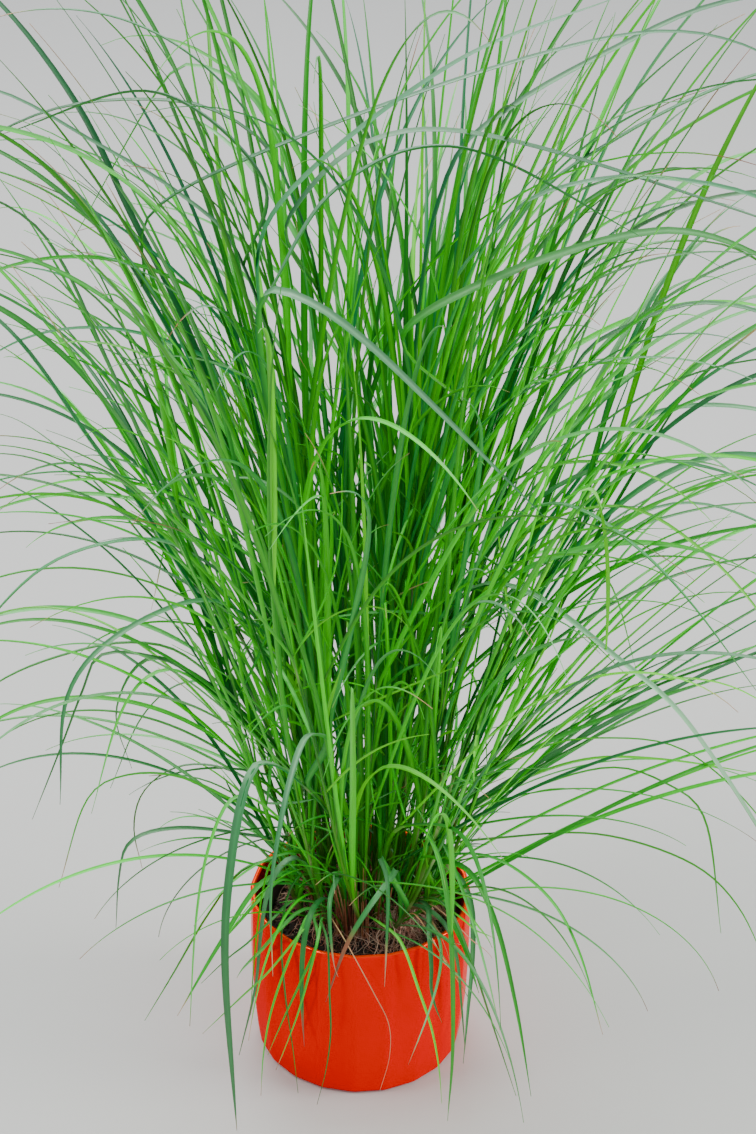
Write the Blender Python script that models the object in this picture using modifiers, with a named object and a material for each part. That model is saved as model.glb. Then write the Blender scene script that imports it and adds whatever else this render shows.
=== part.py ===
"""A clump of ornamental grass in a faceted glazed pot, in metres, +Z up.

The origin is the centre of the pot's flat foot. The front of the plant looks along -Y.
Every shoot of the grass is one solid: a flattened stem of sheaths with its blades fused to it.
"""

from math import cos, pi, radians, sin

import bmesh
import bpy
import numpy as np
from mathutils import Vector, kdtree, noise

# ---- Driving dimensions ----
POT_HEIGHT = 0.140
POT_RIM_RADIUS = 0.0867
POT_FOOT_RADIUS = 0.0803
POT_WALL_CURVE = 4
POT_WALL = 0.0042
POT_FLOOR = 0.008
POT_FACETS = 20
POT_TURN = radians(-2.5)
LIP_ROUND = POT_WALL / 2
FOOT_ROUND = 0.005

GAP = 0.0003
GROWING_POT_HEIGHT = 0.118
GROWING_POT_RIM_RADIUS = 0.0758
GROWING_POT_FOOT_RADIUS = 0.060
GROWING_POT_WALL = 0.0011
GROWING_POT_SIDES = 18

SOIL_TOP = 0.115
SOIL_LUMP = 0.005
SOIL_RINGS = 5
SOIL_SIDES = 20

SOIL_NOISE = 38

# The crown is where the stems leave the soil, a little behind the middle of the pot.
CROWN_X, CROWN_Y = 0.004, 0.014
CROWN_REACH_X, CROWN_REACH_Y = 0.054, 0.046
CROWN_PLACES = 48
CROWN_SHARE_OF_REACH = 0.5
GOLDEN_ANGLE = 137.508

STEM_WIDTH = 0.0072
STEM_TOP_WIDTH = 0.0034
BLADE_WIDTH = 0.0052
TIP_WIDTH = 0.0007
STEM_KEEL = 0.34
BLADE_KEEL = 0.24
OUTLINE_STEM_SEGMENTS, STEM_SEGMENTS = 8, 6
OUTLINE_BLADE_SEGMENTS, BLADE_SEGMENTS = 6, 4
FINE_STEPS = 60
TURN_SHARE = 0.55
LEAST_TURN = 0.002
CLEARANCE = 0.0005
RIM_CLEARANCE = 0.004
LOWEST = 0.008
MOST_STRANDS = 5
SEED = 11

# Stems that give the clump its outline. Each row: the compass angle in degrees that it leans
# towards (0 is the viewer's right, 180 the left, -90 the front), how far that angle turns by the
# tip, and the points (distance out from the crown's middle, height) that it passes.
OUTLINE_STEMS = (
    (185, 0, (0.05, 0.36), (0.10, 0.52), (0.165, 0.665), (0.20, 0.72), (0.25, 0.765), (0.31, 0.79),
     (0.375, 0.80)),
    (182, 0, (0.05, 0.50), (0.09, 0.665), (0.13, 0.715), (0.19, 0.755), (0.25, 0.79), (0.32, 0.80),
     (0.385, 0.79)),
    (178, 0, (0.03, 0.58), (0.06, 0.725), (0.10, 0.77), (0.15, 0.78), (0.22, 0.77), (0.29, 0.73),
     (0.35, 0.67)),
    (172, 0, (0.06, 0.40), (0.13, 0.60), (0.17, 0.69), (0.20, 0.76), (0.24, 0.82), (0.28, 0.86),
     (0.33, 0.90)),
    (165, 0, (0.05, 0.40), (0.11, 0.69), (0.125, 0.77), (0.135, 0.84), (0.15, 0.92)),
    (150, 8, (0.03, 0.45), (0.06, 0.69), (0.09, 0.765), (0.13, 0.785), (0.16, 0.77), (0.235, 0.64)),
    (188, 0, (0.06, 0.28), (0.13, 0.45), (0.185, 0.60), (0.21, 0.67), (0.235, 0.71), (0.28, 0.735),
     (0.34, 0.75)),
    (196, 0, (0.08, 0.30), (0.16, 0.48), (0.20, 0.55), (0.25, 0.64), (0.31, 0.70), (0.37, 0.745)),
    (204, -6, (0.07, 0.33), (0.13, 0.45), (0.17, 0.48), (0.24, 0.47), (0.30, 0.41), (0.345, 0.34)),
    (170, 0, (0.06, 0.30), (0.13, 0.47), (0.155, 0.56), (0.21, 0.63), (0.28, 0.65), (0.35, 0.65)),
    (158, 0, (0.05, 0.35), (0.10, 0.50), (0.15, 0.58), (0.19, 0.63), (0.25, 0.66), (0.32, 0.68)),
    (30, 0, (0.05, 0.45), (0.08, 0.66), (0.10, 0.73), (0.14, 0.80), (0.19, 0.86), (0.235, 0.91)),
    (14, 0, (0.08, 0.48), (0.14, 0.67), (0.18, 0.77), (0.23, 0.84), (0.29, 0.89), (0.345, 0.925)),
    (5, 0, (0.05, 0.56), (0.10, 0.695), (0.16, 0.75), (0.25, 0.795), (0.34, 0.81), (0.41, 0.805)),
    (9, 0, (0.07, 0.46), (0.12, 0.635), (0.18, 0.71), (0.265, 0.76), (0.35, 0.78), (0.415, 0.78)),
    (-2, 0, (0.03, 0.58), (0.05, 0.73), (0.09, 0.78), (0.16, 0.825), (0.22, 0.855), (0.30, 0.87),
     (0.37, 0.87)),
    (18, 0, (0.08, 0.48), (0.14, 0.625), (0.18, 0.65), (0.23, 0.655), (0.28, 0.64), (0.34, 0.59),
     (0.39, 0.53)),
    (-6, 0, (0.08, 0.42), (0.14, 0.59), (0.18, 0.63), (0.23, 0.65), (0.29, 0.635), (0.35, 0.58),
     (0.395, 0.51)),
    (-14, 0, (0.04, 0.58), (0.09, 0.705), (0.14, 0.74), (0.20, 0.75), (0.27, 0.74), (0.35, 0.69),
     (0.41, 0.63)),
    (3, 0, (0.10, 0.33), (0.15, 0.44), (0.20, 0.55), (0.27, 0.615), (0.35, 0.65), (0.42, 0.66)),
    (-10, 0, (0.10, 0.36), (0.16, 0.47), (0.22, 0.53), (0.28, 0.545), (0.36, 0.52), (0.42, 0.475)),
    (8, 0, (0.10, 0.24), (0.16, 0.33), (0.22, 0.40), (0.29, 0.44), (0.37, 0.45), (0.43, 0.44)),
    (-28, 0, (0.03, 0.28), (0.07, 0.41), (0.12, 0.44), (0.20, 0.405), (0.26, 0.365), (0.35, 0.25),
     (0.38, 0.17)),
    (-40, 0, (0.04, 0.33), (0.10, 0.465), (0.14, 0.522), (0.18, 0.540), (0.232, 0.529), (0.28, 0.503),
     (0.34, 0.455)),
    (-118, 0, (0.05, 0.22), (0.10, 0.29), (0.145, 0.335), (0.175, 0.342), (0.20, 0.285),
     (0.211, 0.20), (0.20, 0.035)),
    (-66, 0, (0.04, 0.20), (0.09, 0.25), (0.13, 0.25), (0.155, 0.20), (0.165, 0.10), (0.16, 0.02)),
    (-152, 90, (0.05, 0.38), (0.095, 0.59), (0.134, 0.69), (0.146, 0.702), (0.155, 0.682),
     (0.183, 0.646), (0.241, 0.585)),
)

# Lower leaves that hang or spread clear of the clump, in the same form. Each one grows from the
# stem that stands nearest to its way.
OUTLINE_LEAVES = (
    (-108, 0, (0.10, 0.33), (0.15, 0.37), (0.185, 0.36), (0.213, 0.33), (0.232, 0.29), (0.231, 0.22)),
    (-22, 0, (0.045, 0.43), (0.075, 0.452), (0.11, 0.44), (0.15, 0.415), (0.20, 0.375)),
    (-137, 0, (0.09, 0.24), (0.13, 0.28), (0.155, 0.25), (0.17, 0.19), (0.18, 0.09)),
    (-130, -12, (0.074, 0.200), (0.092, 0.204), (0.103, 0.18), (0.107, 0.14), (0.110, 0.085), (0.124, 0.022)),
    (-132, 0, (0.06, 0.19), (0.10, 0.215), (0.115, 0.19), (0.125, 0.13), (0.13, 0.08)),
    (-134, 19, (0.06, 0.175), (0.088, 0.178), (0.106, 0.147), (0.111, 0.095), (0.113, 0.05), (0.119, 0.012)),
    (-116, 4, (0.06, 0.16), (0.085, 0.168), (0.102, 0.152), (0.11, 0.12), (0.112, 0.085), (0.112, 0.054)),
    (-108, 8, (0.06, 0.182), (0.085, 0.19), (0.103, 0.188), (0.11, 0.165), (0.112, 0.14), (0.113, 0.13)),
    (-72, -39, (0.056, 0.185), (0.074, 0.196), (0.09, 0.197), (0.104, 0.187), (0.11, 0.158), (0.112, 0.103)),
    (-79, -3, (0.06, 0.203), (0.088, 0.209), (0.104, 0.20), (0.108, 0.176), (0.11, 0.145), (0.111, 0.12)),
    (-64, 13, (0.055, 0.15), (0.075, 0.158), (0.096, 0.15), (0.104, 0.12), (0.105, 0.08), (0.107, 0.03)),
    (-22, -24, (0.055, 0.16), (0.075, 0.165), (0.092, 0.147), (0.099, 0.105), (0.102, 0.06), (0.106, 0.012)),
    (-46, 0, (0.06, 0.18), (0.10, 0.20), (0.13, 0.17), (0.155, 0.10), (0.175, 0.02)),
    (-32, 0, (0.06, 0.18), (0.11, 0.205), (0.16, 0.19), (0.19, 0.15), (0.215, 0.08)),
    (-20, 0, (0.05, 0.17), (0.11, 0.195), (0.18, 0.21), (0.25, 0.195), (0.29, 0.16), (0.32, 0.10)),
    (-5, 0, (0.07, 0.22), (0.13, 0.275), (0.18, 0.29), (0.24, 0.285), (0.30, 0.23), (0.33, 0.17)),
    (2, 0, (0.06, 0.18), (0.10, 0.22), (0.165, 0.25), (0.23, 0.25), (0.31, 0.235)),
    (-8, 0, (0.10, 0.22), (0.18, 0.265), (0.23, 0.255), (0.26, 0.225), (0.28, 0.12)),
    (14, 0, (0.07, 0.19), (0.14, 0.23), (0.22, 0.28), (0.31, 0.33), (0.39, 0.35)),
    (6, 0, (0.08, 0.27), (0.115, 0.35), (0.15, 0.42), (0.20, 0.46), (0.25, 0.465), (0.32, 0.43),
     (0.38, 0.38)),
    (0, 0, (0.10, 0.40), (0.14, 0.48), (0.18, 0.54), (0.23, 0.56), (0.30, 0.55), (0.36, 0.51), (0.41, 0.455)),
    (-24, 0, (0.08, 0.40), (0.12, 0.48), (0.19, 0.52), (0.25, 0.50), (0.30, 0.455), (0.33, 0.40)),
    (188, 0, (0.07, 0.27), (0.13, 0.35), (0.17, 0.37), (0.22, 0.365), (0.28, 0.34), (0.34, 0.28)),
    (194, 0, (0.08, 0.29), (0.14, 0.36), (0.20, 0.385), (0.215, 0.36), (0.235, 0.31), (0.26, 0.25)),
    (199, 0, (0.08, 0.28), (0.14, 0.36), (0.17, 0.37), (0.195, 0.34), (0.22, 0.26)),
    (184, 0, (0.08, 0.27), (0.14, 0.34), (0.17, 0.345), (0.19, 0.30), (0.18, 0.25)),
    (200, 0, (0.06, 0.20), (0.11, 0.24), (0.15, 0.27), (0.19, 0.28), (0.22, 0.265), (0.245, 0.19)),
    (186, 0, (0.06, 0.20), (0.10, 0.245), (0.14, 0.255), (0.17, 0.235), (0.18, 0.20), (0.175, 0.16)),
    (196, 0, (0.06, 0.18), (0.10, 0.20), (0.15, 0.215), (0.185, 0.21), (0.195, 0.18), (0.20, 0.13)),
    (210, 0, (0.08, 0.38), (0.13, 0.43), (0.20, 0.42), (0.24, 0.38), (0.25, 0.29)),
    (-158, 0, (0.06, 0.17), (0.10, 0.175), (0.13, 0.14), (0.16, 0.09), (0.185, 0.05)),
    (-142, 0, (0.06, 0.17), (0.10, 0.18), (0.14, 0.14), (0.18, 0.09)),
    (40, 0, (0.07, 0.28), (0.13, 0.36), (0.19, 0.37), (0.25, 0.32), (0.29, 0.22)),
    (62, 0, (0.06, 0.20), (0.11, 0.25), (0.16, 0.25), (0.20, 0.19), (0.22, 0.10)),
    (84, 0, (0.07, 0.30), (0.12, 0.40), (0.18, 0.43), (0.24, 0.38), (0.29, 0.28)),
    (104, 0, (0.06, 0.19), (0.10, 0.23), (0.14, 0.22), (0.17, 0.15), (0.185, 0.05)),
    (128, 0, (0.08, 0.32), (0.14, 0.40), (0.20, 0.41), (0.26, 0.35), (0.30, 0.24)),
    (146, 0, (0.06, 0.21), (0.11, 0.26), (0.17, 0.26), (0.22, 0.21), (0.26, 0.12)),
)

# Stems whose way isn't told by the outline are drawn at random within these bounds. Angles are
# in degrees from upright. A stem splays at the soil, straightens, then its top blade droops.
STEM_LENGTH = (0.50, 0.80)
STEM_LEAN_MIDDLE, STEM_LEAN_EDGE, STEM_LEAN_SPREAD = 2.0, 17.0, 2.5
BASE_SPLAY, BASE_SPLAY_REACH = 1.0, 0.08
STEM_DROOP = (30, 100)
STEM_BEND = (2.2, 4.2)
LEAVES_PER_STEM = 3
LEAF_LENGTH = (0.32, 0.62)
LEAF_PARTING = (5, 22)
LEAF_DROOP = (35, 110)
LEAF_BEND = (1.7, 3.4)
LEAF_FROM = (0.04, 0.42)
LEAF_TIP_LOWEST = 0.30
REACH, TALLEST = 0.41, 0.97
TRIES = 60

# Where the tables leave no clear way, these turns in degrees and these neighbours are tried.
STEM_NUDGES = (0, 2, -2, 4, -4, 6, -6, 8, -8)
LEAF_NUDGES = (0, 2, -2, 4, -4, 6, -6, 9, -9)
PLACES_TRIED, STEMS_TRIED = 14, 8
# How far below its first point a leaf leaves its stem, and the least that it rises.
LEAF_DROPS = (0.045, 0.065, 0.03)
LEAF_RISE = 0.02


# ---- Centre lines ----
def smooth_line(points):
    """A Catmull-Rom curve through the given points, as many short steps of equal length."""
    knots = np.array(points, float)
    knots = np.vstack([2 * knots[0] - knots[1], knots, 2 * knots[-1] - knots[-2]])
    u = np.linspace(0, 1, 16, endpoint=False)[:, None]
    fine = []
    for a, b, c, d in zip(knots, knots[1:], knots[2:], knots[3:]):
        fine.append(
            0.5 * (2 * b + (c - a) * u + (2 * a - 5 * b + 4 * c - d) * u**2 + (3 * b - a - 3 * c + d) * u**3)
        )
    fine = np.vstack([*fine, knots[-2:-1]])
    along = np.concatenate([[0], np.cumsum(np.linalg.norm(np.diff(fine, axis=0), axis=1))])
    at = np.linspace(0, along[-1], FINE_STEPS + 1)
    return np.stack([np.interp(at, along, fine[:, k]) for k in range(3)], axis=1)


def leaning_line(start, azimuth, turn, lean, droop, length, bend, splay=0):
    """A line that leaves start leaning lean degrees from upright and droops by as many more."""
    t = (np.arange(FINE_STEPS) + 0.5) / FINE_STEPS
    tilt = np.radians(lean * (1 + splay * np.exp(-t / BASE_SPLAY_REACH)) + droop * t**bend)
    way = np.radians(azimuth + turn * t)
    steps = np.stack([np.sin(tilt) * np.cos(way), np.sin(tilt) * np.sin(way), np.cos(tilt)], axis=1)
    return np.vstack([start, start + np.cumsum(steps, axis=0) * length / FINE_STEPS])


def few_points(line, widths, count):
    """The count + 1 points that keep a fine line's shape best: closer together where it turns."""
    steps = np.diff(line, axis=0)
    length = np.linalg.norm(steps, axis=1)
    ways = steps / length[:, None]
    turns = np.arccos(np.clip((ways[1:] * ways[:-1]).sum(axis=1), -1, 1))
    turns = np.concatenate([[0], turns]) + LEAST_TURN
    share = (1 - TURN_SHARE) * length / length.sum() + TURN_SHARE * turns / turns.sum()
    along = np.concatenate([[0], np.cumsum(share)])
    at = np.linspace(0, along[-1], count + 1)
    points = np.stack([np.interp(at, along, line[:, k]) for k in range(3)], axis=1)
    return points, np.interp(at, along, widths)


def row_points(row, nudge):
    """The points in space that a row of the outline tables stands for, turned by nudge degrees."""
    azimuth, turn, *places = row
    points = []
    for k, (out, height) in enumerate(places):
        way = radians(azimuth + nudge + turn * k / (len(places) - 1))
        points.append((CROWN_X + out * cos(way), CROWN_Y + out * sin(way), height))
    return points


def stem_widths():
    """A stem is widest at the soil, thin where its last sheath ends, then carries its top blade."""
    return np.interp(
        np.linspace(0, 1, FINE_STEPS + 1),
        (0, 0.03, 0.12, 0.32, 0.45, 0.62, 0.85, 1),
        (
            STEM_WIDTH * 0.7, STEM_WIDTH, STEM_WIDTH * 0.8, STEM_TOP_WIDTH * 1.2, STEM_TOP_WIDTH,
            BLADE_WIDTH * 0.85, BLADE_WIDTH * 0.45, TIP_WIDTH,
        ),
    )


def blade_widths(width):
    return np.interp(
        np.linspace(0, 1, FINE_STEPS + 1),
        (0, 0.15, 0.40, 0.75, 1),
        (0.3 * width, 0.85 * width, width, 0.55 * width, TIP_WIDTH),
    )


# ---- Keeping the shoots apart ----
class Space:
    """What is already taken: balls along every line, each with the shoot that it belongs to."""

    def __init__(self):
        self.centres, self.balls = [], []
        self.tree = None

    @staticmethod
    def balls_along(line, widths):
        found = []
        for a, b, wa, wb in zip(line, line[1:], widths, widths[1:]):
            steps = max(2, int(np.linalg.norm(b - a) / 0.003))
            for k in range(steps):
                t = k / steps
                found.append((a + (b - a) * t, (wa + (wb - wa) * t) / 2))
        return found

    def is_clear(self, shoot, line, widths):
        if not clears_the_pot(line):
            return False
        if self.tree is None:
            return True
        for centre, radius in self.balls_along(line, widths):
            for _, index, distance in self.tree.find_range(centre, radius + STEM_WIDTH / 2 + CLEARANCE):
                other, other_radius = self.balls[index]
                if other != shoot and distance < radius + other_radius + CLEARANCE:
                    return False
        return True

    def take(self, shoot, line, widths):
        for centre, radius in self.balls_along(line, widths):
            self.centres.append(centre)
            self.balls.append((shoot, radius))
        self.tree = kdtree.KDTree(len(self.centres))
        for index, centre in enumerate(self.centres):
            self.tree.insert(centre, index)
        self.tree.balance()


def clears_the_pot(line):
    """True if a line keeps off the floor and passes over the pot's rim, not through its wall."""
    fine = np.vstack([a + (b - a) * t for a, b in zip(line, line[1:]) for t in np.linspace(0, 1, 12)])
    out, height = np.hypot(fine[:, 0], fine[:, 1]), fine[:, 2]
    in_wall = (out > GROWING_POT_RIM_RADIUS - 1.5 * RIM_CLEARANCE) & (out < POT_RIM_RADIUS + RIM_CLEARANCE)
    return bool(height.min() > LOWEST and not (in_wall & (height < POT_HEIGHT + RIM_CLEARANCE)).any())


def point_at_height(line, height):
    """Where a line first rises to the given height."""
    for a, b in zip(line, line[1:]):
        if a[2] <= height < b[2]:
            return a + (b - a) * (height - a[2]) / (b[2] - a[2])
    return line[1]


def in_bounds(line):
    reach = np.hypot(line[:, 0] - CROWN_X, line[:, 1] - CROWN_Y).max()
    return line[-1, 2] > LEAF_TIP_LOWEST and reach < REACH and line[:, 2].max() < TALLEST


# ---- Where the stems and blades go ----
def crown_places():
    """Places on the soil, spread evenly over the crown in a spiral, as (x, y, share of the way out)."""
    places = []
    for k in range(CROWN_PLACES):
        share = ((k + 0.5) / CROWN_PLACES) ** 0.5
        way = radians(k * GOLDEN_ANGLE)
        places.append(
            (CROWN_X + CROWN_REACH_X * share * cos(way), CROWN_Y + CROWN_REACH_Y * share * sin(way), share)
        )
    return places


def stem_start(place):
    return np.array([place[0], place[1], SOIL_TOP + GAP * 3])


def way_for_stem(space, free, shoot, row):
    """The free place near an outline stem's foot, and the line from it, that keep clear."""
    wanted, reach = radians(row[0]), CROWN_SHARE_OF_REACH * row[2][0]
    x, y = CROWN_X + reach * cos(wanted), CROWN_Y + reach * sin(wanted)
    nearest = sorted(free, key=lambda p: np.hypot(p[0] - x, p[1] - y))
    for place in nearest[:PLACES_TRIED]:
        for nudge in STEM_NUDGES:
            fine = smooth_line([stem_start(place), *row_points(row, nudge)])
            line, widths = few_points(fine, stem_widths(), OUTLINE_STEM_SEGMENTS)
            if space.is_clear(shoot, line, widths):
                return place, line, widths
    return None


def place_outline_stems(space, free, shoots):
    for row in OUTLINE_STEMS:
        found = way_for_stem(space, free, len(shoots), row)
        if found is None:
            print("no room for", row[0], row[2])
            continue
        place, line, widths = found
        free.remove(place)
        space.take(len(shoots), line, widths)
        shoots.append([(line, widths)])


def place_other_stems(space, free, shoots):
    """Fills the rest of the crown with stems that lean outwards from its middle."""
    for number, place in enumerate(crown_places()):
        if place not in free:
            continue
        rng = np.random.default_rng((SEED, number))
        x, y, share = place
        for _ in range(TRIES):
            azimuth = np.degrees(np.arctan2(y - CROWN_Y, x - CROWN_X)) + rng.normal(0, 14)
            lean = STEM_LEAN_MIDDLE + (STEM_LEAN_EDGE - STEM_LEAN_MIDDLE) * share**1.3
            lean = max(0.5, lean + rng.normal(0, STEM_LEAN_SPREAD))
            fine = leaning_line(
                stem_start(place), azimuth, rng.normal(0, 14), lean, rng.uniform(*STEM_DROOP),
                rng.uniform(*STEM_LENGTH), rng.uniform(*STEM_BEND), BASE_SPLAY,
            )
            line, widths = few_points(fine, stem_widths(), STEM_SEGMENTS)
            if in_bounds(line) and space.is_clear(len(shoots), line, widths):
                space.take(len(shoots), line, widths)
                shoots.append([(line, widths)])
                break
        else:
            print("no stem at", place)


def distance_to_stem(line, target):
    """How near the part of a stem that is lower than a leaf's first point comes to that point."""
    low = line[line[:, 2] < target[2] - LEAF_RISE]
    return np.linalg.norm(low - target, axis=1).min() if len(low) else np.inf


def way_for_leaf(space, shoots, row):
    """The stem nearest to an outline leaf's way, and the line from it, that keep clear."""
    target = np.array(row_points(row, 0)[0])
    with_room = [k for k in range(len(shoots)) if len(shoots[k]) < MOST_STRANDS]
    nearest = sorted(with_room, key=lambda k: distance_to_stem(shoots[k][0][0], target))
    for k in nearest[:STEMS_TRIED]:
        for nudge in LEAF_NUDGES:
            for drop in LEAF_DROPS:
                points = row_points(row, nudge)
                start = point_at_height(shoots[k][0][0], max(SOIL_TOP + LEAF_RISE, points[0][2] - drop))
                fine = smooth_line([start, *points])
                line, widths = few_points(fine, blade_widths(BLADE_WIDTH), OUTLINE_BLADE_SEGMENTS)
                if space.is_clear(k, line, widths):
                    return k, line, widths
    return None


def place_outline_leaves(space, shoots):
    for row in OUTLINE_LEAVES:
        found = way_for_leaf(space, shoots, row)
        if found is None:
            print("no room for leaf", row[0], row[2])
            continue
        k, line, widths = found
        space.take(k, line, widths)
        shoots[k].append((line, widths))


def place_other_leaves(space, shoots):
    for k, shoot in enumerate(shoots):
        rng = np.random.default_rng((SEED, CROWN_PLACES + k))
        stem = shoot[0][0]
        for n in range(LEAVES_PER_STEM - len(shoot) + 1):
            for _ in range(TRIES):
                at = rng.uniform(*LEAF_FROM) * STEM_SEGMENTS
                low = int(at)
                start = stem[low] + (stem[low + 1] - stem[low]) * (at - low)
                along = stem[low + 1] - stem[low]
                side = radians(rng.uniform(0, 360))
                out = np.tan(radians(rng.uniform(*LEAF_PARTING)))
                away = along / np.linalg.norm(along) + out * np.array([cos(side), sin(side), 0])
                azimuth = np.degrees(np.arctan2(away[1], away[0]))
                lean = np.degrees(np.arctan2(np.hypot(away[0], away[1]), away[2]))
                width = BLADE_WIDTH * rng.uniform(0.75, 1.1)
                fine = leaning_line(
                    start, azimuth, rng.normal(0, 22), lean, rng.uniform(*LEAF_DROOP),
                    rng.uniform(*LEAF_LENGTH), rng.uniform(*LEAF_BEND),
                )
                line, widths = few_points(fine, blade_widths(width), BLADE_SEGMENTS)
                if in_bounds(line) and space.is_clear(k, line, widths):
                    space.take(k, line, widths)
                    shoot.append((line, widths))
                    break


def grow_clump():
    space, shoots, free = Space(), [], crown_places()
    place_outline_stems(space, free, shoots)
    place_other_stems(space, free, shoots)
    place_outline_leaves(space, shoots)
    place_other_leaves(space, shoots)
    return shoots


# ---- Building in Blender ----
def material(name, colour, roughness):
    made = bpy.data.materials.new(name)
    made.use_nodes = True
    shader = made.node_tree.nodes["Principled BSDF"]
    shader.inputs["Base Color"].default_value = (*colour, 1)
    shader.inputs["Roughness"].default_value = roughness
    shader.inputs["Metallic"].default_value = 0
    return made


def collection(name):
    made = bpy.data.collections.new(name)
    bpy.context.scene.collection.children.link(made)
    return made


def swept_blade(name, line, widths, keel, where):
    """A closed blade along a line: flat on the side that faces up and in, with a keel below."""
    ways = np.gradient(line, axis=0)
    ways /= np.linalg.norm(ways, axis=1)[:, None]
    outward = Vector((*(line[-1] - line[0])[:2], 0)).normalized()
    side = outward.cross(Vector((0, 0, 1)))
    body = bmesh.new()
    bmesh.ops.create_circle(body, cap_ends=True, segments=3, radius=1)
    body.faces.ensure_lookup_table()
    end = body.faces[0]
    for k, (place, way, width) in enumerate(zip(line, ways, widths)):
        place, way = Vector(place), Vector(way)
        side = (side - way * side.dot(way)).normalized()
        under = way.cross(side)
        if k:
            before = end
            grown = bmesh.ops.extrude_face_region(body, geom=[before])["geom"]
            end = next(found for found in grown if isinstance(found, bmesh.types.BMFace))
            if k > 1:
                bmesh.ops.delete(body, geom=[before], context="FACES_ONLY")
        corners = (place - side * width / 2, place + under * keel * width, place + side * width / 2)
        for vertex, corner in zip(end.verts, corners):
            vertex.co = corner
    bmesh.ops.triangulate(body, faces=body.faces)
    bmesh.ops.recalc_face_normals(body, faces=body.faces)
    mesh = bpy.data.meshes.new(name)
    body.to_mesh(mesh)
    body.free()
    made = bpy.data.objects.new(name, mesh)
    where.objects.link(made)
    return made


def is_one_closed_body(mesh):
    body = bmesh.new()
    body.from_mesh(mesh)
    closed = bool(body.faces) and all(edge.is_manifold for edge in body.edges)
    bmesh.ops.remove_doubles(body, verts=body.verts, dist=0.000002)
    body.faces.ensure_lookup_table()
    front = [body.faces[0]] if closed else []
    reached = set(front)
    while front:
        for edge in front.pop().edges:
            for face in edge.link_faces:
                if face not in reached:
                    reached.add(face)
                    front.append(face)
    whole = closed and len(reached) == len(body.faces)
    body.free()
    return whole


def build_shoot(name, shoot, parts, helpers, green):
    """One solid: the stem with its blades fused to it by a union."""
    (stem_line, stem_width), *blades = shoot
    stem = swept_blade(name, stem_line, stem_width, STEM_KEEL, parts)
    # A blade that starts exactly on an edge of the stem leaves the union open, so a second and
    # third try start it a little higher or lower.
    for lift in (0, 0.0003, -0.0003, 0.0007):
        helper_blades = []
        for k, (line, widths) in enumerate(blades):
            lifted = line.copy()
            lifted[0, 2] += lift
            blade = swept_blade(f"{name}_blade_{k}", lifted, widths, BLADE_KEEL, helpers)
            union = stem.modifiers.new(f"blade {k}", "BOOLEAN")
            union.operation = "UNION"
            union.object = blade
            helper_blades.append(blade)
        bpy.context.view_layer.update()
        graph = bpy.context.evaluated_depsgraph_get()
        fused = bpy.data.meshes.new_from_object(stem.evaluated_get(graph))
        stem.modifiers.clear()
        for blade in helper_blades:
            bpy.data.objects.remove(blade)
        if is_one_closed_body(fused):
            break
    else:
        print(name, "isn't one closed body")
    stem.data = fused
    fused.materials.clear()
    fused.materials.append(green)
    return stem


def turned(name, profile, steps, parts, skin):
    """A turned piece: the profile (radius, height) runs down its outer side."""
    mesh = bpy.data.meshes.new(name)
    mesh.from_pydata([(r, 0, z) for r, z in profile], [(k, k + 1) for k in range(len(profile) - 1)], [])
    made = bpy.data.objects.new(name, mesh)
    parts.objects.link(made)
    screw = made.modifiers.new("turn", "SCREW")
    screw.steps = steps
    screw.render_steps = steps
    screw.use_merge_vertices = True
    screw.merge_threshold = 0.00001
    mesh.materials.append(skin)
    return made


def arc(centre, radius, start, end, count):
    """Points on an arc from start to end degrees, in the profile's plane."""
    return [
        (centre[0] + radius * cos(radians(a)), centre[1] + radius * sin(radians(a)))
        for a in np.linspace(start, end, count)
    ]


def wall_radius(height):
    """The pot's outer radius at a height: almost upright above, drawn in towards the foot."""
    return POT_RIM_RADIUS - (POT_RIM_RADIUS - POT_FOOT_RADIUS) * (1 - height / POT_HEIGHT) ** POT_WALL_CURVE


def build_pot(parts):
    inner_rim = POT_RIM_RADIUS - POT_WALL
    lip = arc((inner_rim + LIP_ROUND, POT_HEIGHT - LIP_ROUND), LIP_ROUND, 180, 0, 4)
    foot = arc((wall_radius(FOOT_ROUND) - FOOT_ROUND, FOOT_ROUND), FOOT_ROUND, 0, -90, 4)
    inner_wall = [(wall_radius(height) - POT_WALL, height) for height in (POT_FLOOR, 0.045)]
    outer_wall = [(wall_radius(height), height) for height in (0.060, 0.036, 0.018)]
    profile = [(0, POT_FLOOR), *inner_wall, *lip, *outer_wall, *foot, (0, 0)]
    glaze = material("glaze", (0.75, 0.02, 0.005), 0.15)
    pot = turned("pot", profile, POT_FACETS, parts, glaze)
    pot.rotation_euler.z = POT_TURN
    return pot


def build_nursery_pot(parts):
    foot = POT_FLOOR + GAP
    rim, base, wall = GROWING_POT_RIM_RADIUS, GROWING_POT_FOOT_RADIUS, GROWING_POT_WALL
    top = foot + GROWING_POT_HEIGHT
    profile = [
        (0, foot + wall), (base - wall, foot + wall), (rim - 0.004 - wall, top - 0.006),
        (rim - wall, top), (rim, top), (rim, top - 0.006), (rim - 0.004, top - 0.007), (base, foot), (0, foot),
    ]
    plastic = material("dark plastic", (0.02, 0.02, 0.022), 0.5)
    return turned("nursery_pot", profile, GROWING_POT_SIDES, parts, plastic)


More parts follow.
